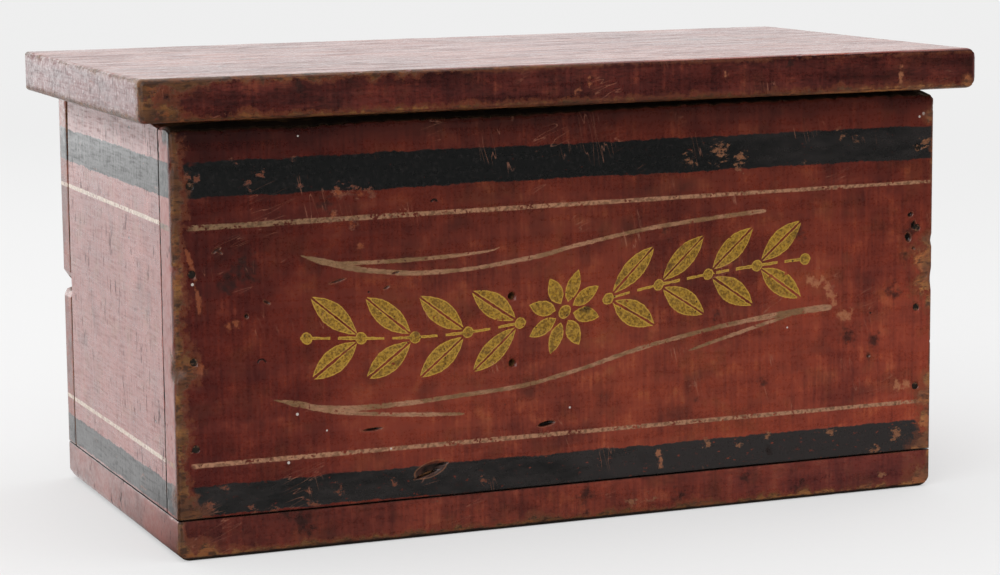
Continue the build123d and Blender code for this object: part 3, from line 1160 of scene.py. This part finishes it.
# %% A painted finish
def painted_finish(
        name, grain, decoration, reds, shades, paint_reach=3.0, fleck_spots=(), streaky=1.0, dirt_and_shade=None):
    """Painted, chipped and rubbed softwood.

    Paint runs paint_reach mm past the painted faces, and streaky is how far its gloss follows the grain.
    """
    material, place = start_finish(name)
    rub = stored(place, "rub")
    inset = stored(place, "inset")
    wood, pores = bare_wood(place, grain, step(inset, 4.0, 14.0))
    colour, fine, streaks = red_paint(place, grain, *reds)
    colour, gloss, matte = shades(place, colour)
    if decoration:
        colour = decoration(place, colour)
    colour, low = damage(place, grain, colour, fine, fleck_spots)
    stray = sway(noise(place, 26, 2.0, shift=71.0), 1.7)
    stray = stray + sway(noise(place, 4, 5.0, 0.74, shift=73.0), 2.5)
    worn = step(rub + stray, 1.10, 0.70)
    thinned = step(rub + stray * 1.5, 1.75, 1.15) * 0.5
    colour = mix(thinned, colour, tint(0.150, 0.042, 0.016))
    drips = sway(noise(place, paint_reach * 1.8, 6.0, 0.68, shift=77.0), paint_reach * 1.4)
    unpainted = step(inset + drips, paint_reach * 0.8, paint_reach)
    bare = worn.most(unpainted)
    colour = mix(bare, colour, wood)
    # Near black where the mask says: dirt in joints, and painted shade in the gap under the lid and at the
    # foot.
    if dirt_and_shade:
        colour = mix(dirt_and_shade(place), colour, tint(0.006, 0.004, 0.003))
    dull = step(streaks + sway(fine, 0.5), 0.36, 0.66) * streaky
    roughness = 0.28 + sway(fine, 0.20) + dull * 0.08 + worn * 0.08 + unpainted * 0.28 + matte * 0.35
    lines = noise(place, (1.1, 55, 1.1) if grain else (55, 14, 1.6), 2.0, 0.55, shift=81.0)
    wipes = noise(place, (1.2, 1.2, 26), 2.0, 0.6, shift=83.0)
    height = lines * 0.04 + wipes * 0.025 + fine * 0.015 - low - pores * bare * 0.12 - bare * 0.04
    coat = (gloss * (1 - dull * 0.45) * (1 - matte) - unpainted * 0.6 - worn * 0.30).most(0.0)
    end_finish(colour, roughness, height, **{"Coat Weight": coat, "Coat Roughness": 0.22})
    print(name, len(material.node_tree.nodes), "nodes")
    return material


print("a painted finish can be made")

# %% [markdown]
# ## Five finishes
# All boards wear the same kind of paint, but time has changed each in its own way. Five separate shaders
# would repeat most of their nodes, so each board only gives the painted finish its reds, its shades and
# the dirt in its joints, with painted shade in the gap under the lid and along the foot. What several
# boards
# share comes first: the reds, the cracks in end grain, and how far darker areas and dirt stray.

# %% Reds, end grain and soot
wall_reds = (tint(0.090, 0.0130, 0.0080), tint(0.222, 0.0335, 0.0130), tint(0.310, 0.072, 0.025))
end_reds = (tint(0.240, 0.066, 0.054), tint(0.315, 0.088, 0.070), tint(0.380, 0.130, 0.104))
lid_reds = (tint(0.042, 0.0076, 0.0066), tint(0.120, 0.0188, 0.0118), tint(0.200, 0.044, 0.0190))
base_reds = (tint(0.074, 0.0125, 0.0080), tint(0.202, 0.0300, 0.0130), tint(0.250, 0.058, 0.022))
crack_black = tint(0.012, 0.007, 0.006)
wall_foot = 21.3


def end_checks(place, mask):
    """Short dark cracks that open in end grain."""
    cracks = noise(place, (2.2, 2.4, 10.0), 2.0, 0.6, shift=95.0)
    gathered = sway(noise(place, 30, 1.0, shift=96.0), 0.4)
    return step(cracks + gathered, 0.65, 0.70) * mask


def dark_area_border(place):
    """How far the border of a darker area strays, in mm."""
    return sway(noise(place, 30, 3.0, 0.6, shift=85.0), 150)


def joint_wander(place):
    """How far the dirt of a joint strays, in mm."""
    return sway(noise(place, 3.0, 2.0), 1.2)


print("reds ready")

# %% [markdown]
# ## The front board's finish
# The front is darker at its left, and darker towards the top, partly as painted shade. Just under the lid
# the colour holds painted shadow of the lid's overhang, the gap under the lid is painted black as shade and
# dirt, and black dirt fills its joints. That could be painted by hand, but not again after each change of
# shape.
# Here soft edges along X and Z darken the paint, and a cloud bends their borders so that no line shows.

# %% The front board's finish
# Each dot is x, z and radius.
white_dots = [
    (-151.7, 70.2, 0.9), (-136.2, 60.6, 0.6), (-156.8, 45.8, 0.9), (-101.9, 48.3, 0.6),
    (-2.3, 61.6, 0.7), (208.0, 206.5, 1.1), (205.5, 205.0, 0.8), (-148.6, 210.3, 0.6),
    (125.4, 94.9, 0.6), (-204.6, 139.4, 0.9),
]


def front_shades(place, colour):
    """Darker to the left, painted shade towards the top and under the lid, and faded paint on the end
    grain.
    """
    x, y, z = split(place)
    border = dark_area_border(place)
    top = step(z + border * 0.25, 60, 215)
    colour = glaze(step(x + border, -10, -200), colour, tint(0.60, 0.45, 0.51))
    # Painted shade: darker towards the top, partly because less light reaches the upper front.
    colour = glaze(top, colour, tint(0.58, 0.54, 0.58))
    colour = glaze(step(x, 60, 190), colour, tint(1.13, 1.08, 1.10))
    # Painted shadow of the lid's overhang, in a strip just under the lid.
    colour = glaze(step(z + border * 0.05, 202, 216), colour, tint(0.62, 0.62, 0.66))
    end_grain = front_end_grain(y)
    colour = mix(end_grain, colour, mix(step(border, -30, 30), end_reds[0], end_reds[1]))
    checks = end_checks(place, end_grain)
    dull = (end_grain * (step(z, 190, 214) * 0.35 + 0.15)).most(checks)
    return mix(checks * 0.8, colour, crack_black), 0.5 - top * 0.2, dull


def front_dirt_and_shade(place):
    """Black in the gap below the lid, painted shade and dirt, and dirt in the joints with the bottom and
    ends.
    """
    x, y, z = split(place)
    ragged_top = z + sway(noise(place, 12, 3.0, 0.6), 9)
    ragged_back = y + sway(noise(place, (30, 4, 4), 5.0, 0.72, shift=7.0), 24)
    # Painted shade and dirt: black in the gap under the lid's overhang.
    gap = step(ragged_top, 206, 212) * step(y, -111.4, -110.4) * step(ragged_back, -98.5, -102) * 0.95
    ends = step(y + joint_wander(place), -92.6, -92.0) * step(abs(x), 209, 212)
    return gap.most(step(z, 22.0, wall_foot)).most(ends)


front_finish = painted_finish(
    "front_paint", 0, front_decoration, wall_reds, front_shades, fleck_spots=white_dots, dirt_and_shade=front_dirt_and_shade)

# %% [markdown]
# ## The back board's and the end boards' finishes
# The ends took most of the light. Their red has gone pale and dusty, and marks of the brush cross marks of
# wiping. A scanned wall would repeat, so two clouds, one stretched upright and one level, cross like a
# weave. The photograph doesn't show the back, which stays plain.


# %% The back board's and the end boards' finishes
def back_shades(place, colour):
    """Plain paint: its colour, its gloss and no dull places."""
    return colour, 0.3, 0.0


def back_grime(place):
    """Dirt in the joint with the bottom."""
    _, _, z = split(place)
    return step(z, 21.9, wall_foot)


def end_shades(place, colour):
    """Dust, a fine weave of brush and wiping marks, short dark flecks, and painted shade with dirt under
    the lid.
    """
    _, _, z = split(place)
    cloud = noise(place, 24, 3.0, 0.6, shift=85.0)
    wiped = noise(place, (1.3, 1.3, 18), 3.0, 0.65, shift=86.0)
    weave = wiped + noise(place, (1.3, 16, 1.3), 3.0, 0.65, shift=89.0)
    colour = glaze(step(cloud, 0.40, 0.70) * 0.35, colour, tint(0.66, 0.72, 0.80))
    colour = glaze(step(weave, 0.98, 1.30) * 0.55, colour, tint(0.45, 0.42, 0.45))
    upright_place = vector("MULTIPLY", place, (1.0, 1.0, 0.32))
    flecks = specks(upright_place, 10.0, 4.4, 0.30, 0.55).most(end_checks(place, 0.7))
    bands = band(z, place, upper_band, 1.0).most(band(z, place, lower_band, 1.0))
    under_lid = step(z + sway(cloud, 14), 197, 213)
    # Painted shade of the lid's overhang, with dirt, darkens the top of the end.
    colour = glaze(under_lid * 0.6, colour, tint(0.55, 0.55, 0.62))
    matte = (step(weave, 0.96, 1.24) * 0.43 + bands * 0.20 + under_lid * 0.45).least(1.0).most(flecks)
    return mix(flecks * 0.9, colour, tint(0.020, 0.007, 0.006)), 0.52 + sway(cloud, 0.3), matte


def end_grime(place):
    """Dirt in the joints round an end board."""
    _, y, z = split(place)
    strayed = y + joint_wander(place)
    return step(strayed, -90.6, -91.2).most(step(strayed, 93.3, 93.9)).most(step(z, 21.9, wall_foot))


back_finish = painted_finish("back_paint", 0, wall_decoration, wall_reds, back_shades, dirt_and_shade=back_grime)
end_paint = painted_finish(
    "end_paint", 1, wall_decoration, end_reds, end_shades, streaky=0.35, dirt_and_shade=end_grime)

# %% [markdown]
# ## The bottom board's finish
# The bottom board is a browner, grittier red, dark along the edge where it stands on the ground as painted
# contact shadow. It could share the front's finish, but the photograph shows that the colour changes at the
# joint. So it has reds of its own, darker towards the left, with cracks in its end grain.


# %% The bottom board's finish
def base_shades(place, colour):
    """Darker towards the left, and faded ends with open checks."""
    x, _, _ = split(place)
    border = dark_area_border(place)
    colour = glaze(step(x + border, -40, -190), colour, tint(0.66, 0.66, 0.80))
    colour = glaze(step(x + border, 20, 170), colour, tint(0.74, 0.80, 1.20))
    grit = noise(place, (5.0, 1.2, 1.2), 3.0, 0.65, shift=91.0)
    colour = glaze(step(grit, 0.50, 0.75) * 0.6, colour, tint(0.50, 0.50, 0.56))
    ends = step(abs(x), 211.0, 213.5)
    end_tone = mix(step(border, -30, 30), tint(0.150, 0.044, 0.033), tint(0.255, 0.070, 0.052))
    colour = mix(ends, colour, end_tone)
    checks = end_checks(place, ends)
    return mix(checks * 0.9, colour, crack_black), 0.5, (ends * 0.12).most(checks)


def base_dirt_and_shade(place):
    """Dirt in the joint above, and painted contact shadow along the edge that stands on the ground."""
    x, y, z = split(place)
    rim = step(abs(y), 107, 109).most(step(abs(x), 210, 212))
    # Painted contact shadow along the edge on the ground.
    foot_shadow = step(z + sway(noise(place, 9, 2.0), 1.2), 2.6, 1.5) * 0.95
    return (step(z, 20.1, 20.8) * rim).most(foot_shadow)


base_finish = painted_finish("base_paint", 0, None, base_reds, base_shades, dirt_and_shade=base_dirt_and_shade)

# %% [markdown]
# ## The lid's finish
# The lid's front is nearly brown with dirt, while its top has bleached in streaks along the grain and
# catches the light. Two materials could do that, one for the sides and one for the top, but they would meet
# in a hard line. One finish that asks how high a point lies has a soft change from one to the other.


# %% The lid's top
def lid_top_colour(place, top, streaks):
    """Bleached red with streaks, furrows, clouds of dirt and cracks. Gives the colour and the cracks."""
    pale = noise(place, (44, 14, 14), 8.0, 0.72, shift=88.0)
    bleached = mix(step(pale, 0.45, 0.57), tint(0.245, 0.046, 0.030), tint(0.380, 0.112, 0.072))
    bleached = mix(streaks * 0.70, bleached, tint(0.130, 0.030, 0.021))
    furrows = noise(place, (90, 1.5, 1.5), 3.0, 0.6, shift=94.0)
    bleached = glaze(step(furrows, 0.56, 0.70) * 0.6, bleached, tint(0.45, 0.40, 0.42))
    dirt = noise(place, (150, 70, 70), 4.0, 0.6, shift=90.0)
    bleached = glaze(step(dirt, 0.46, 0.62) * 0.45, bleached, tint(0.50, 0.46, 0.48))
    cracks = step(noise(place, (13, 5, 5), 2.0, 0.5, shift=92.0), 0.72, 0.76) * top
    return mix(cracks, bleached, tint(0.020, 0.010, 0.008)), cracks


print("lid top ready")


# %% The lid's finish
def lid_shades(place, colour):
    """Dirt in clouds on the sides, and a faded top and ends with streaks along the board."""
    x, _, z = split(place)
    cloud = noise(place, (55, 55, 10), 5.0, 0.66, shift=85.0)
    top = step(z, 241.0, 241.65)
    ends = step(abs(x), 229.5, 231.5) * (1 - top)
    colour = glaze(step(cloud, 0.42, 0.66) * 0.80, colour, tint(0.38, 0.33, 0.38))
    colour = glaze(step(z, 238.0, 240.6), colour, tint(0.60, 0.56, 0.60))
    grit = noise(place, (3.4, 1.7, 0.9), 5.0, 0.74, shift=91.0)
    colour = glaze(step(grit, 0.46, 0.68) * 0.85, colour, tint(0.42, 0.42, 0.46))
    streaks = step(noise(place, (22, 6, 6), 8.0, 0.74, shift=87.0), 0.50, 0.60)
    bleached, cracks = lid_top_colour(place, top, streaks)
    colour = mix(top * 0.85, glaze(top, colour, tint(2.4, 2.5, 2.6)), bleached)
    end_tone = mix(step(cloud, 0.40, 0.62), tint(0.165, 0.042, 0.041), tint(0.100, 0.026, 0.027))
    pitted = step(noise(place, 16, 2.0, shift=93.0), 0.46, 0.56)
    pits = (specks(place, 3.4, 2.2, 0.45, 0.45) * pitted * ends).most(end_checks(place, ends * 0.45))
    colour = mix(pits * 0.9, mix(ends * 0.8, colour, end_tone), tint(0.020, 0.010, 0.009))
    lines = step(noise(place, (2.0, 26, 1.3), 3.0, 0.6, shift=97.0), 0.50, 0.66) * ends
    patchy = step(noise(place, (3.6, 1.1, 1.1), 3.0, 0.7, shift=98.0), 0.44, 0.66)
    worn_gloss = patchy * top.most(ends) * 0.12
    gloss = top * (0.64 - streaks * 0.36) + 0.12 - ends * 0.04
    matte = top * streaks * 0.16 + worn_gloss + ends * 0.05 + lines * 0.24
    return colour, gloss, matte.most(cracks).most(pits)


lid_finish = painted_finish("lid_paint", 0, None, lid_reds, lid_shades, paint_reach=13.0)

# %% [markdown]
# ## Iron
# Hinges, screws and nails are plain iron gone brown. New shapes could stand in for them, but the CAD shapes
# are right as they are, so they only get a finish: dark iron with clouds of rust, which is duller and no
# metal.


# %% Iron finishes
def iron_finish(name, iron, rust, amount):
    """Dark iron with rust in clouds; amount moves the edge of the rust."""
    material, place = start_finish(name)
    clouds = noise(place, 5.0, 4.0, 0.65, shift=2.0)
    grit = noise(place, 0.9, 3.0, 0.7, shift=5.0)
    rusty = step(clouds + sway(grit, 0.5), 0.62 - amount, 0.74 - amount)
    colour = mix(rusty, iron, mix(step(grit, 0.35, 0.65), rust, tint(0.200, 0.078, 0.030)))
    roughness = 0.42 + rusty * 0.38 + sway(grit, 0.2)
    metal = 0.85 - rusty * 0.8
    end_finish(colour, roughness, grit * 0.06 + clouds * 0.1 * rusty, Metallic=metal)
    return material


hinge_iron = iron_finish("hinge_iron_rusted", tint(0.085, 0.075, 0.066), tint(0.060, 0.030, 0.017), 0.06)
screw_iron = iron_finish("screw_iron_dull", tint(0.150, 0.135, 0.118), tint(0.075, 0.038, 0.020), 0.02)
nail_iron = iron_finish("nail_iron_rusted", tint(0.070, 0.055, 0.045), tint(0.060, 0.026, 0.014), 0.14)
iron_nodes = {node: shown for node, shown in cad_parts.items() if not node.endswith("_board")}
for node, shown in iron_nodes.items():
    iron = nail_iron if "nails" in node else screw_iron if "screws" in node else hinge_iron
    shown.data.materials.clear()
    shown.data.materials.append(iron)
print("iron finishes on", len(iron_nodes), "nodes")

# %% [markdown]
# ## Marks seen in the photograph
# Chips, smudges, scuffs and bare spots lie where the photograph shows them. They could be modelled one by
# one; a list of places and reaches in millimetres is enough, because the finish breaks up each spot's
# outline with noise. Rows of small spots along an edge have seeded random sizes.

# %% Marks on the front
front_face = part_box("front_board")[0][1] / mm


def on_front(spots, face=front_face):
    """Spots of (x, z, reach) on a face that looks forward."""
    return [(x, face, z, reach) for x, z, reach in spots]


front_chips = on_front([
    (-205.6, 192.2, 6), (-201.5, 191.6, 5), (-180.9, 199.4, 5), (-152.0, 199.0, 4), (-171, 193.5, 5),
    (-166.5, 192.4, 5), (-175.0, 186.7, 6), (-148.1, 184.9, 5), (-128.2, 181.3, 8), (-120.8, 181.9, 9),
    (-111, 179.9, 7), (-131.0, 170.4, 7), (-120.5, 164.3, 7), (85, 192, 13), (97, 186, 11), (67, 188, 8),
    (134, 183, 5), (157, 198, 6), (166, 194, 5), (208, 191, 9), (-190.9, 36.9, 5), (-198.4, 28.1, 7),
    (-130.8, 31.4, 7), (-129.5, 27, 5), (-101.3, 30.3, 6), (-145.9, 29.6, 5), (-175.8, 22.7, 9),
    (-165.0, 21.8, 8), (-142.7, 22.8, 7), (-50.6, 27.3, 5), (114.4, 36.2, 6), (77.3, 35.1, 7),
    (96.9, 33.4, 5), (152.0, 36.5, 7), (180.2, 22.8, 8), (193.8, 31.2, 10),
])
front_smudges = on_front([
    (-135.7, 174.7, 9), (-178, 145, 16), (-186, 139, 12), (162.1, 87.5, 10), (179.1, 84.9, 8),
    (6.5, 113.2, 8), (190.5, 110.3, 10), (110.5, 67.4, 7), (175.4, 75.6, 4), (70.2, 60.4, 4),
    (54.1, 149.8, 7), (132.6, 144.6, 9), (82.0, 104.0, 6), (197.3, 129.2, 8), (114.8, 28.4, 5),
    (201, 143, 9),
])
front_scuffs = on_front([
    (138.5, 119.5, 5), (142.5, 118.0, 5), (146.5, 119.5, 4), (149.0, 115.5, 5), (151.9, 110.5, 5),
    (154.0, 106.0, 4), (158.0, 99.5, 5), (162.5, 98.4, 5), (165.0, 101.0, 3), (193.5, 58.2, 6),
    (199.0, 58.0, 5), (50.0, 25.6, 4), (50.0, 29.0, 3), (48.7, 32.5, 4), (-186.4, 117.4, 4),
    (-182.4, 117.8, 4), (-117.0, 153.4, 3), (-201.0, 96.6, 5), (-128.0, 181.5, 4), (-116.0, 180.5, 4.5),
    (-131.0, 170.0, 3.5), (-120.5, 164.3, 4),
    *((-201.5 - (height - 126) ** 2 * 0.0065, height, 2.4) for height in range(126, 157, 2)),
])
front_bare = on_front([
    (213, 137, 5), (211, 126, 8), (212, 115, 9), (214, 103, 5), (-212, 97, 8), (-213, 30, 6), (-208, 22, 6),
    (214, 60, 3.5), (212, 205, 4), (211, 50, 4), (213, 27, 6), (212, 38, 5), (209, 22, 5),
])
print("marks on the front:", len(front_chips) + len(front_smudges) + len(front_scuffs) + len(front_bare))

# %% Marks on the bottom board and the lid
chance = np.random.default_rng(31)
base_smudges = on_front([
    (6.9, 4.3, 5), (61.6, 9.3, 9), (133.0, 6.5, 9), (100.7, 15.6, 7), (6.0, 14.5, 10), (-157.7, 20.2, 9),
    (-149.5, 15.4, 16),
])
base_chips = on_front([(33.1, 8.6, 8), (45.9, 7.4, 8), (-24.4, 1.6, 10), (184.3, 8.4, 6), (-76.7, 18.2, 5)])
base_bare = on_front([(211, 4, 8), (-214, 4, 5), (-200, 2, 5), (-186, 1, 4), (-24, 1, 5), (70, 1, 4)])
base_bare += on_front([(x, 2.0, chance.uniform(0.8, 3.2)) for x in np.arange(-210, 214, 3.3)])
lid_face = -125.0
lid_edge = -124.0
lid_top = 242.0
lid_smudges = [(x, y, lid_top, reach) for x, y, reach in (
    (0.0, -100.3, 8), (6.0, -100.6, 7), (20.0, -102.0, 6), (133.7, 16.1, 11), (-91.9, 103.2, 12),
    (-142.0, -9.3, 11), (-170.6, -18.8, 8))]
lid_smudges += on_front([(-219, 233, 11), (-152, 236, 9), (120, 239, 8)], lid_face)
lid_bare = on_front([
    (-231, 238, 6), (-230, 226, 6), (-219, 222, 6), (-212, 240, 5), (-180, 221, 3.5), (228, 223, 4),
    (150, 222, 3), (-100, 221, 3),
], lid_face)
lid_bare += on_front([(x, 221.2, chance.uniform(0.5, 2.0)) for x in np.arange(-226, 230, 3.7)], lid_edge)
lid_bare += on_front([(x, 241.6, chance.uniform(1.0, 4.0)) for x in np.arange(-228, -90, 3.7)], lid_edge)
lid_scuffs = on_front([
    (185.9, 226, 2.6), (186.1, 228.5, 2.6), (185.8, 231, 2.6), (186.2, 233.5, 2.6), (4.1, 231, 2.8),
    (4.4, 234, 2.6), (-4.3, 227, 3), (-1.0, 228.5, 3), (82.0, 233, 3),
], lid_face)
print("bare spots:", len(base_bare), "on the bottom board,", len(lid_bare), "on the lid")

# %% [markdown]
# ## The six boards
# Each entry below gives a board's shape, with its points along X, Y and Z and how round its low and high
# sides are in mm, and its wear, with how wide its edges are rubbed and which sides were painted. Sides that
# meet another board stay nearly sharp. A loop over such a list keeps the six boards alike, where six
# separate calls would drift apart.

# %% What each board is given
end_shape = dict(
    finish=end_paint, points=(14, 120, 120), low_rounding=(0.9, 0.8, 0.7), high_rounding=(0.9, 0.9, 1.2))
end_wear = dict(rub_low=(0.6, 0.5, 0.5), rub_high=(0.6, 0.6, 1.0))
board_specs = {
    "front_board": dict(
        body="box",
        shape=dict(
            finish=front_finish, points=(260, 14, 130), seed=1.3, carve=carve_front,
            low_rounding=(2.6, 2.4, 0.8), high_rounding=(1.8, 0.8, 2.0)),
        wear=dict(
            painted=("-x", "+x", "-y"), rub_low=(5.2, 1.3, 0.3), rub_high=(1.8, 0.6, 1.2),
            bare_spots=front_bare,
            seen={"chip": front_chips, "smudge": front_smudges, "scuff": front_scuffs})),
    "back_board": dict(
        body="box",
        shape=dict(
            finish=back_finish, points=(220, 12, 110), seed=2.7, carve=carve_back,
            low_rounding=(1.2, 0.8, 0.7), high_rounding=(1.2, 1.4, 1.2)),
        wear=dict(
            painted=("-x", "+x", "+y"), rub_low=(3.0, 0.6, 0.6), rub_high=(3.0, 2.0, 1.0),
            bare_spots=[(-208, 104, 109, 5)])),
    "left_end_board": dict(
        body="box",
        shape=dict(end_shape, seed=4.1, carve=carve_left_end),
        wear=dict(end_wear, painted=("-x",))),
    "right_end_board": dict(
        body="box",
        shape=dict(end_shape, seed=5.9),
        wear=dict(end_wear, painted=("+x",))),
    "bottom_board": dict(
        body="box",
        shape=dict(
            finish=base_finish, points=(230, 130, 22), seed=7.2, carve=carve_bottom,
            low_rounding=(1.2, 2.6, 1.2), high_rounding=(1.0, 2.6, 0.9)),
        wear=dict(
            painted=("-x", "+x", "-y", "+y"), rub_low=(2.6, 1.6, 2.2), rub_high=(2.6, 2.0, 0.3),
            bare_spots=base_bare, seen={"chip": base_chips, "smudge": base_smudges})),
    "lid_board": dict(
        body="lid",
        shape=dict(
            finish=lid_finish, points=(260, 130, 16), seed=8.8, carve=carve_lid,
            low_rounding=(2.6, 2.0, 1.6), high_rounding=(3.4, 1.2, 2.2)),
        wear=dict(
            painted=("-x", "+x", "-y", "+y", "+z"), rub_low=(1.4, 0.5, 3.0), rub_high=(1.1, 1.2, 2.0),
            bare_spots=lid_bare, seen={"smudge": lid_smudges, "scuff": lid_scuffs})),
}
print("boards to make:", len(board_specs))

# %% Boards
crease = math.radians(45)
dent_limit = -104
face_count = 0
for node, spec in board_specs.items():
    made = worn_board("worn_" + node, node, **spec["shape"])
    places = store_wear(made, node, **spec["wear"])
    if node == "front_board":
        x, y, z = places.T
        store(made.data, "dent", pressed(x, z, front_marks) * (y < dent_limit))
    made.data.set_sharp_from_angle(angle=crease)
    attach(made, spec["body"])
    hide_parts(node)
    face_count += len(made.data.polygons)
print("boards:", face_count, "faces")

# %% [markdown]
# ## The white sheet
# The box was photographed on a white sheet that melts into its background. A strong lamp could bleach the
# floor, but would bleach the box too. So the floor keeps the box's shadow, and mixes in a white glow for
# camera rays and reflections only. Far in front of the box only camera rays meet it, and all others pass,
# as if the sheet ended there.

# %% Floor
floor_half = 9.0
floor_points = [(x * floor_half, y * floor_half, 0.0) for x, y in ((-1, -1), (1, -1), (1, 1), (-1, 1))]
floor_mesh = bpy.data.meshes.new("floor")
floor_mesh.from_pydata(floor_points, [], [(0, 1, 2, 3)])
floor = bpy.data.objects.new("floor", floor_mesh)
scene.collection.objects.link(floor)
background_level = 0.86
dim_front = 0.03
white = tint(1, 1, 1)


def ray_kinds(start):
    """Rays that see the background straight, and rays that mirror it."""
    seen, glossy, through = start.node(
        "ShaderNodeLightPath", output=("Is Camera Ray", "Is Glossy Ray", "Is Transmission Ray"))
    return seen.most(through), glossy


floor_material, floor_place = start_finish("white_sheet")
fibre = noise(floor_place, 6.0, 3.0)
sheet_tone = mix(fibre, tint(0.78, 0.78, 0.78), tint(0.80, 0.80, 0.80))
sheet = fibre.node("ShaderNodeBsdfDiffuse", inputs={"Color": sheet_tone})
straight, mirrored = ray_kinds(sheet)
across, depth, _ = split(floor_place)
white_share = step(depth, -130, 120) * (1 - dim_front) + dim_front
glow_strength = straight * background_level + mirrored * white_share
glow = sheet.node("ShaderNodeEmission", inputs={"Color": white, "Strength": glow_strength})
far = step(root(across * across + depth * depth), 300, 3000) * 0.5 + 0.5
shown = sheet.node("ShaderNodeMixShader", inputs={0: straight * far + mirrored, 1: sheet, 2: glow})
clear = shown.node("ShaderNodeBsdfTransparent")
dark_room = step(depth, -600, -640) * (1 - straight)
shown = shown.node("ShaderNodeMixShader", inputs={0: dark_room, 1: shown, 2: clear})
shown.node("ShaderNodeOutputMaterial", inputs={"Surface": shown}, output=None)
floor_mesh.materials.append(floor_material)
print("floor", floor.dimensions[:2])

# %% [markdown]
# ## The room
# The sheen of the lid and the left end, and the lack of it on the front, tell of a room that was bright
# behind the box and dark in front. One even world would be simpler, but would lose that. So the world is
# white for camera rays, bright behind and dim in front for reflections, and even for the rest.

# %% World
world = bpy.data.worlds.new("studio")
world.use_nodes = True
world.node_tree.nodes.clear()
scene.world = world
sky = Shade(world.node_tree)
_, facing_back, facing_up = split(sky.node("ShaderNodeTexCoord", output="Generated"))
straight, mirrored = ray_kinds(sky)
white_share = step(facing_back, -0.15, 0.5) * (1 - dim_front) + dim_front
spread = step(facing_up, -0.15, 0.20) * 0.80 + 0.15
unseen = mirrored * white_share + (1 - mirrored) * spread
strength = straight * background_level + (1 - straight) * unseen
light = strength.node("ShaderNodeBackground", inputs={"Color": white, "Strength": strength})
light.node("ShaderNodeOutputWorld", inputs={"Surface": light}, output=None)
print("world:", len(world.node_tree.nodes), "nodes")

# %% [markdown]
# ## The lamps
# Shadows in the photograph are soft. Small lamps or a sun would draw hard ones, so there are three big
# square lamps: one hangs above, one stands behind on the left, for the sheen on the left end, and one fills
# the front.


# %% Lamps
def soft_lamp(name, place, target, size, watts):
    """A square soft lamp, aimed at a point."""
    lamp = bpy.data.lights.new(name, "AREA")
    lamp.shape = "SQUARE"
    lamp.size = size
    lamp.energy = watts
    holder = bpy.data.objects.new(name, lamp)
    holder.location = place
    holder.rotation_mode = "QUATERNION"
    holder.rotation_quaternion = (Vector(target) - Vector(place)).to_track_quat("-Z", "Y")
    scene.collection.objects.link(holder)
    print(name, watts, "W")


soft_lamp("overhead_lamp", (0.1, 0.2, 1.7), (0.0, 0.0, 0.1), 1.7, 6.0)
soft_lamp("left_back_lamp", (-0.9, 1.9, 0.5), (-0.2, 0.0, 0.1), 1.2, 6.5)
soft_lamp("front_lamp", (-1.5, -1.7, 1.3), (0.0, 0.0, 0.1), 2.4, 29.5)
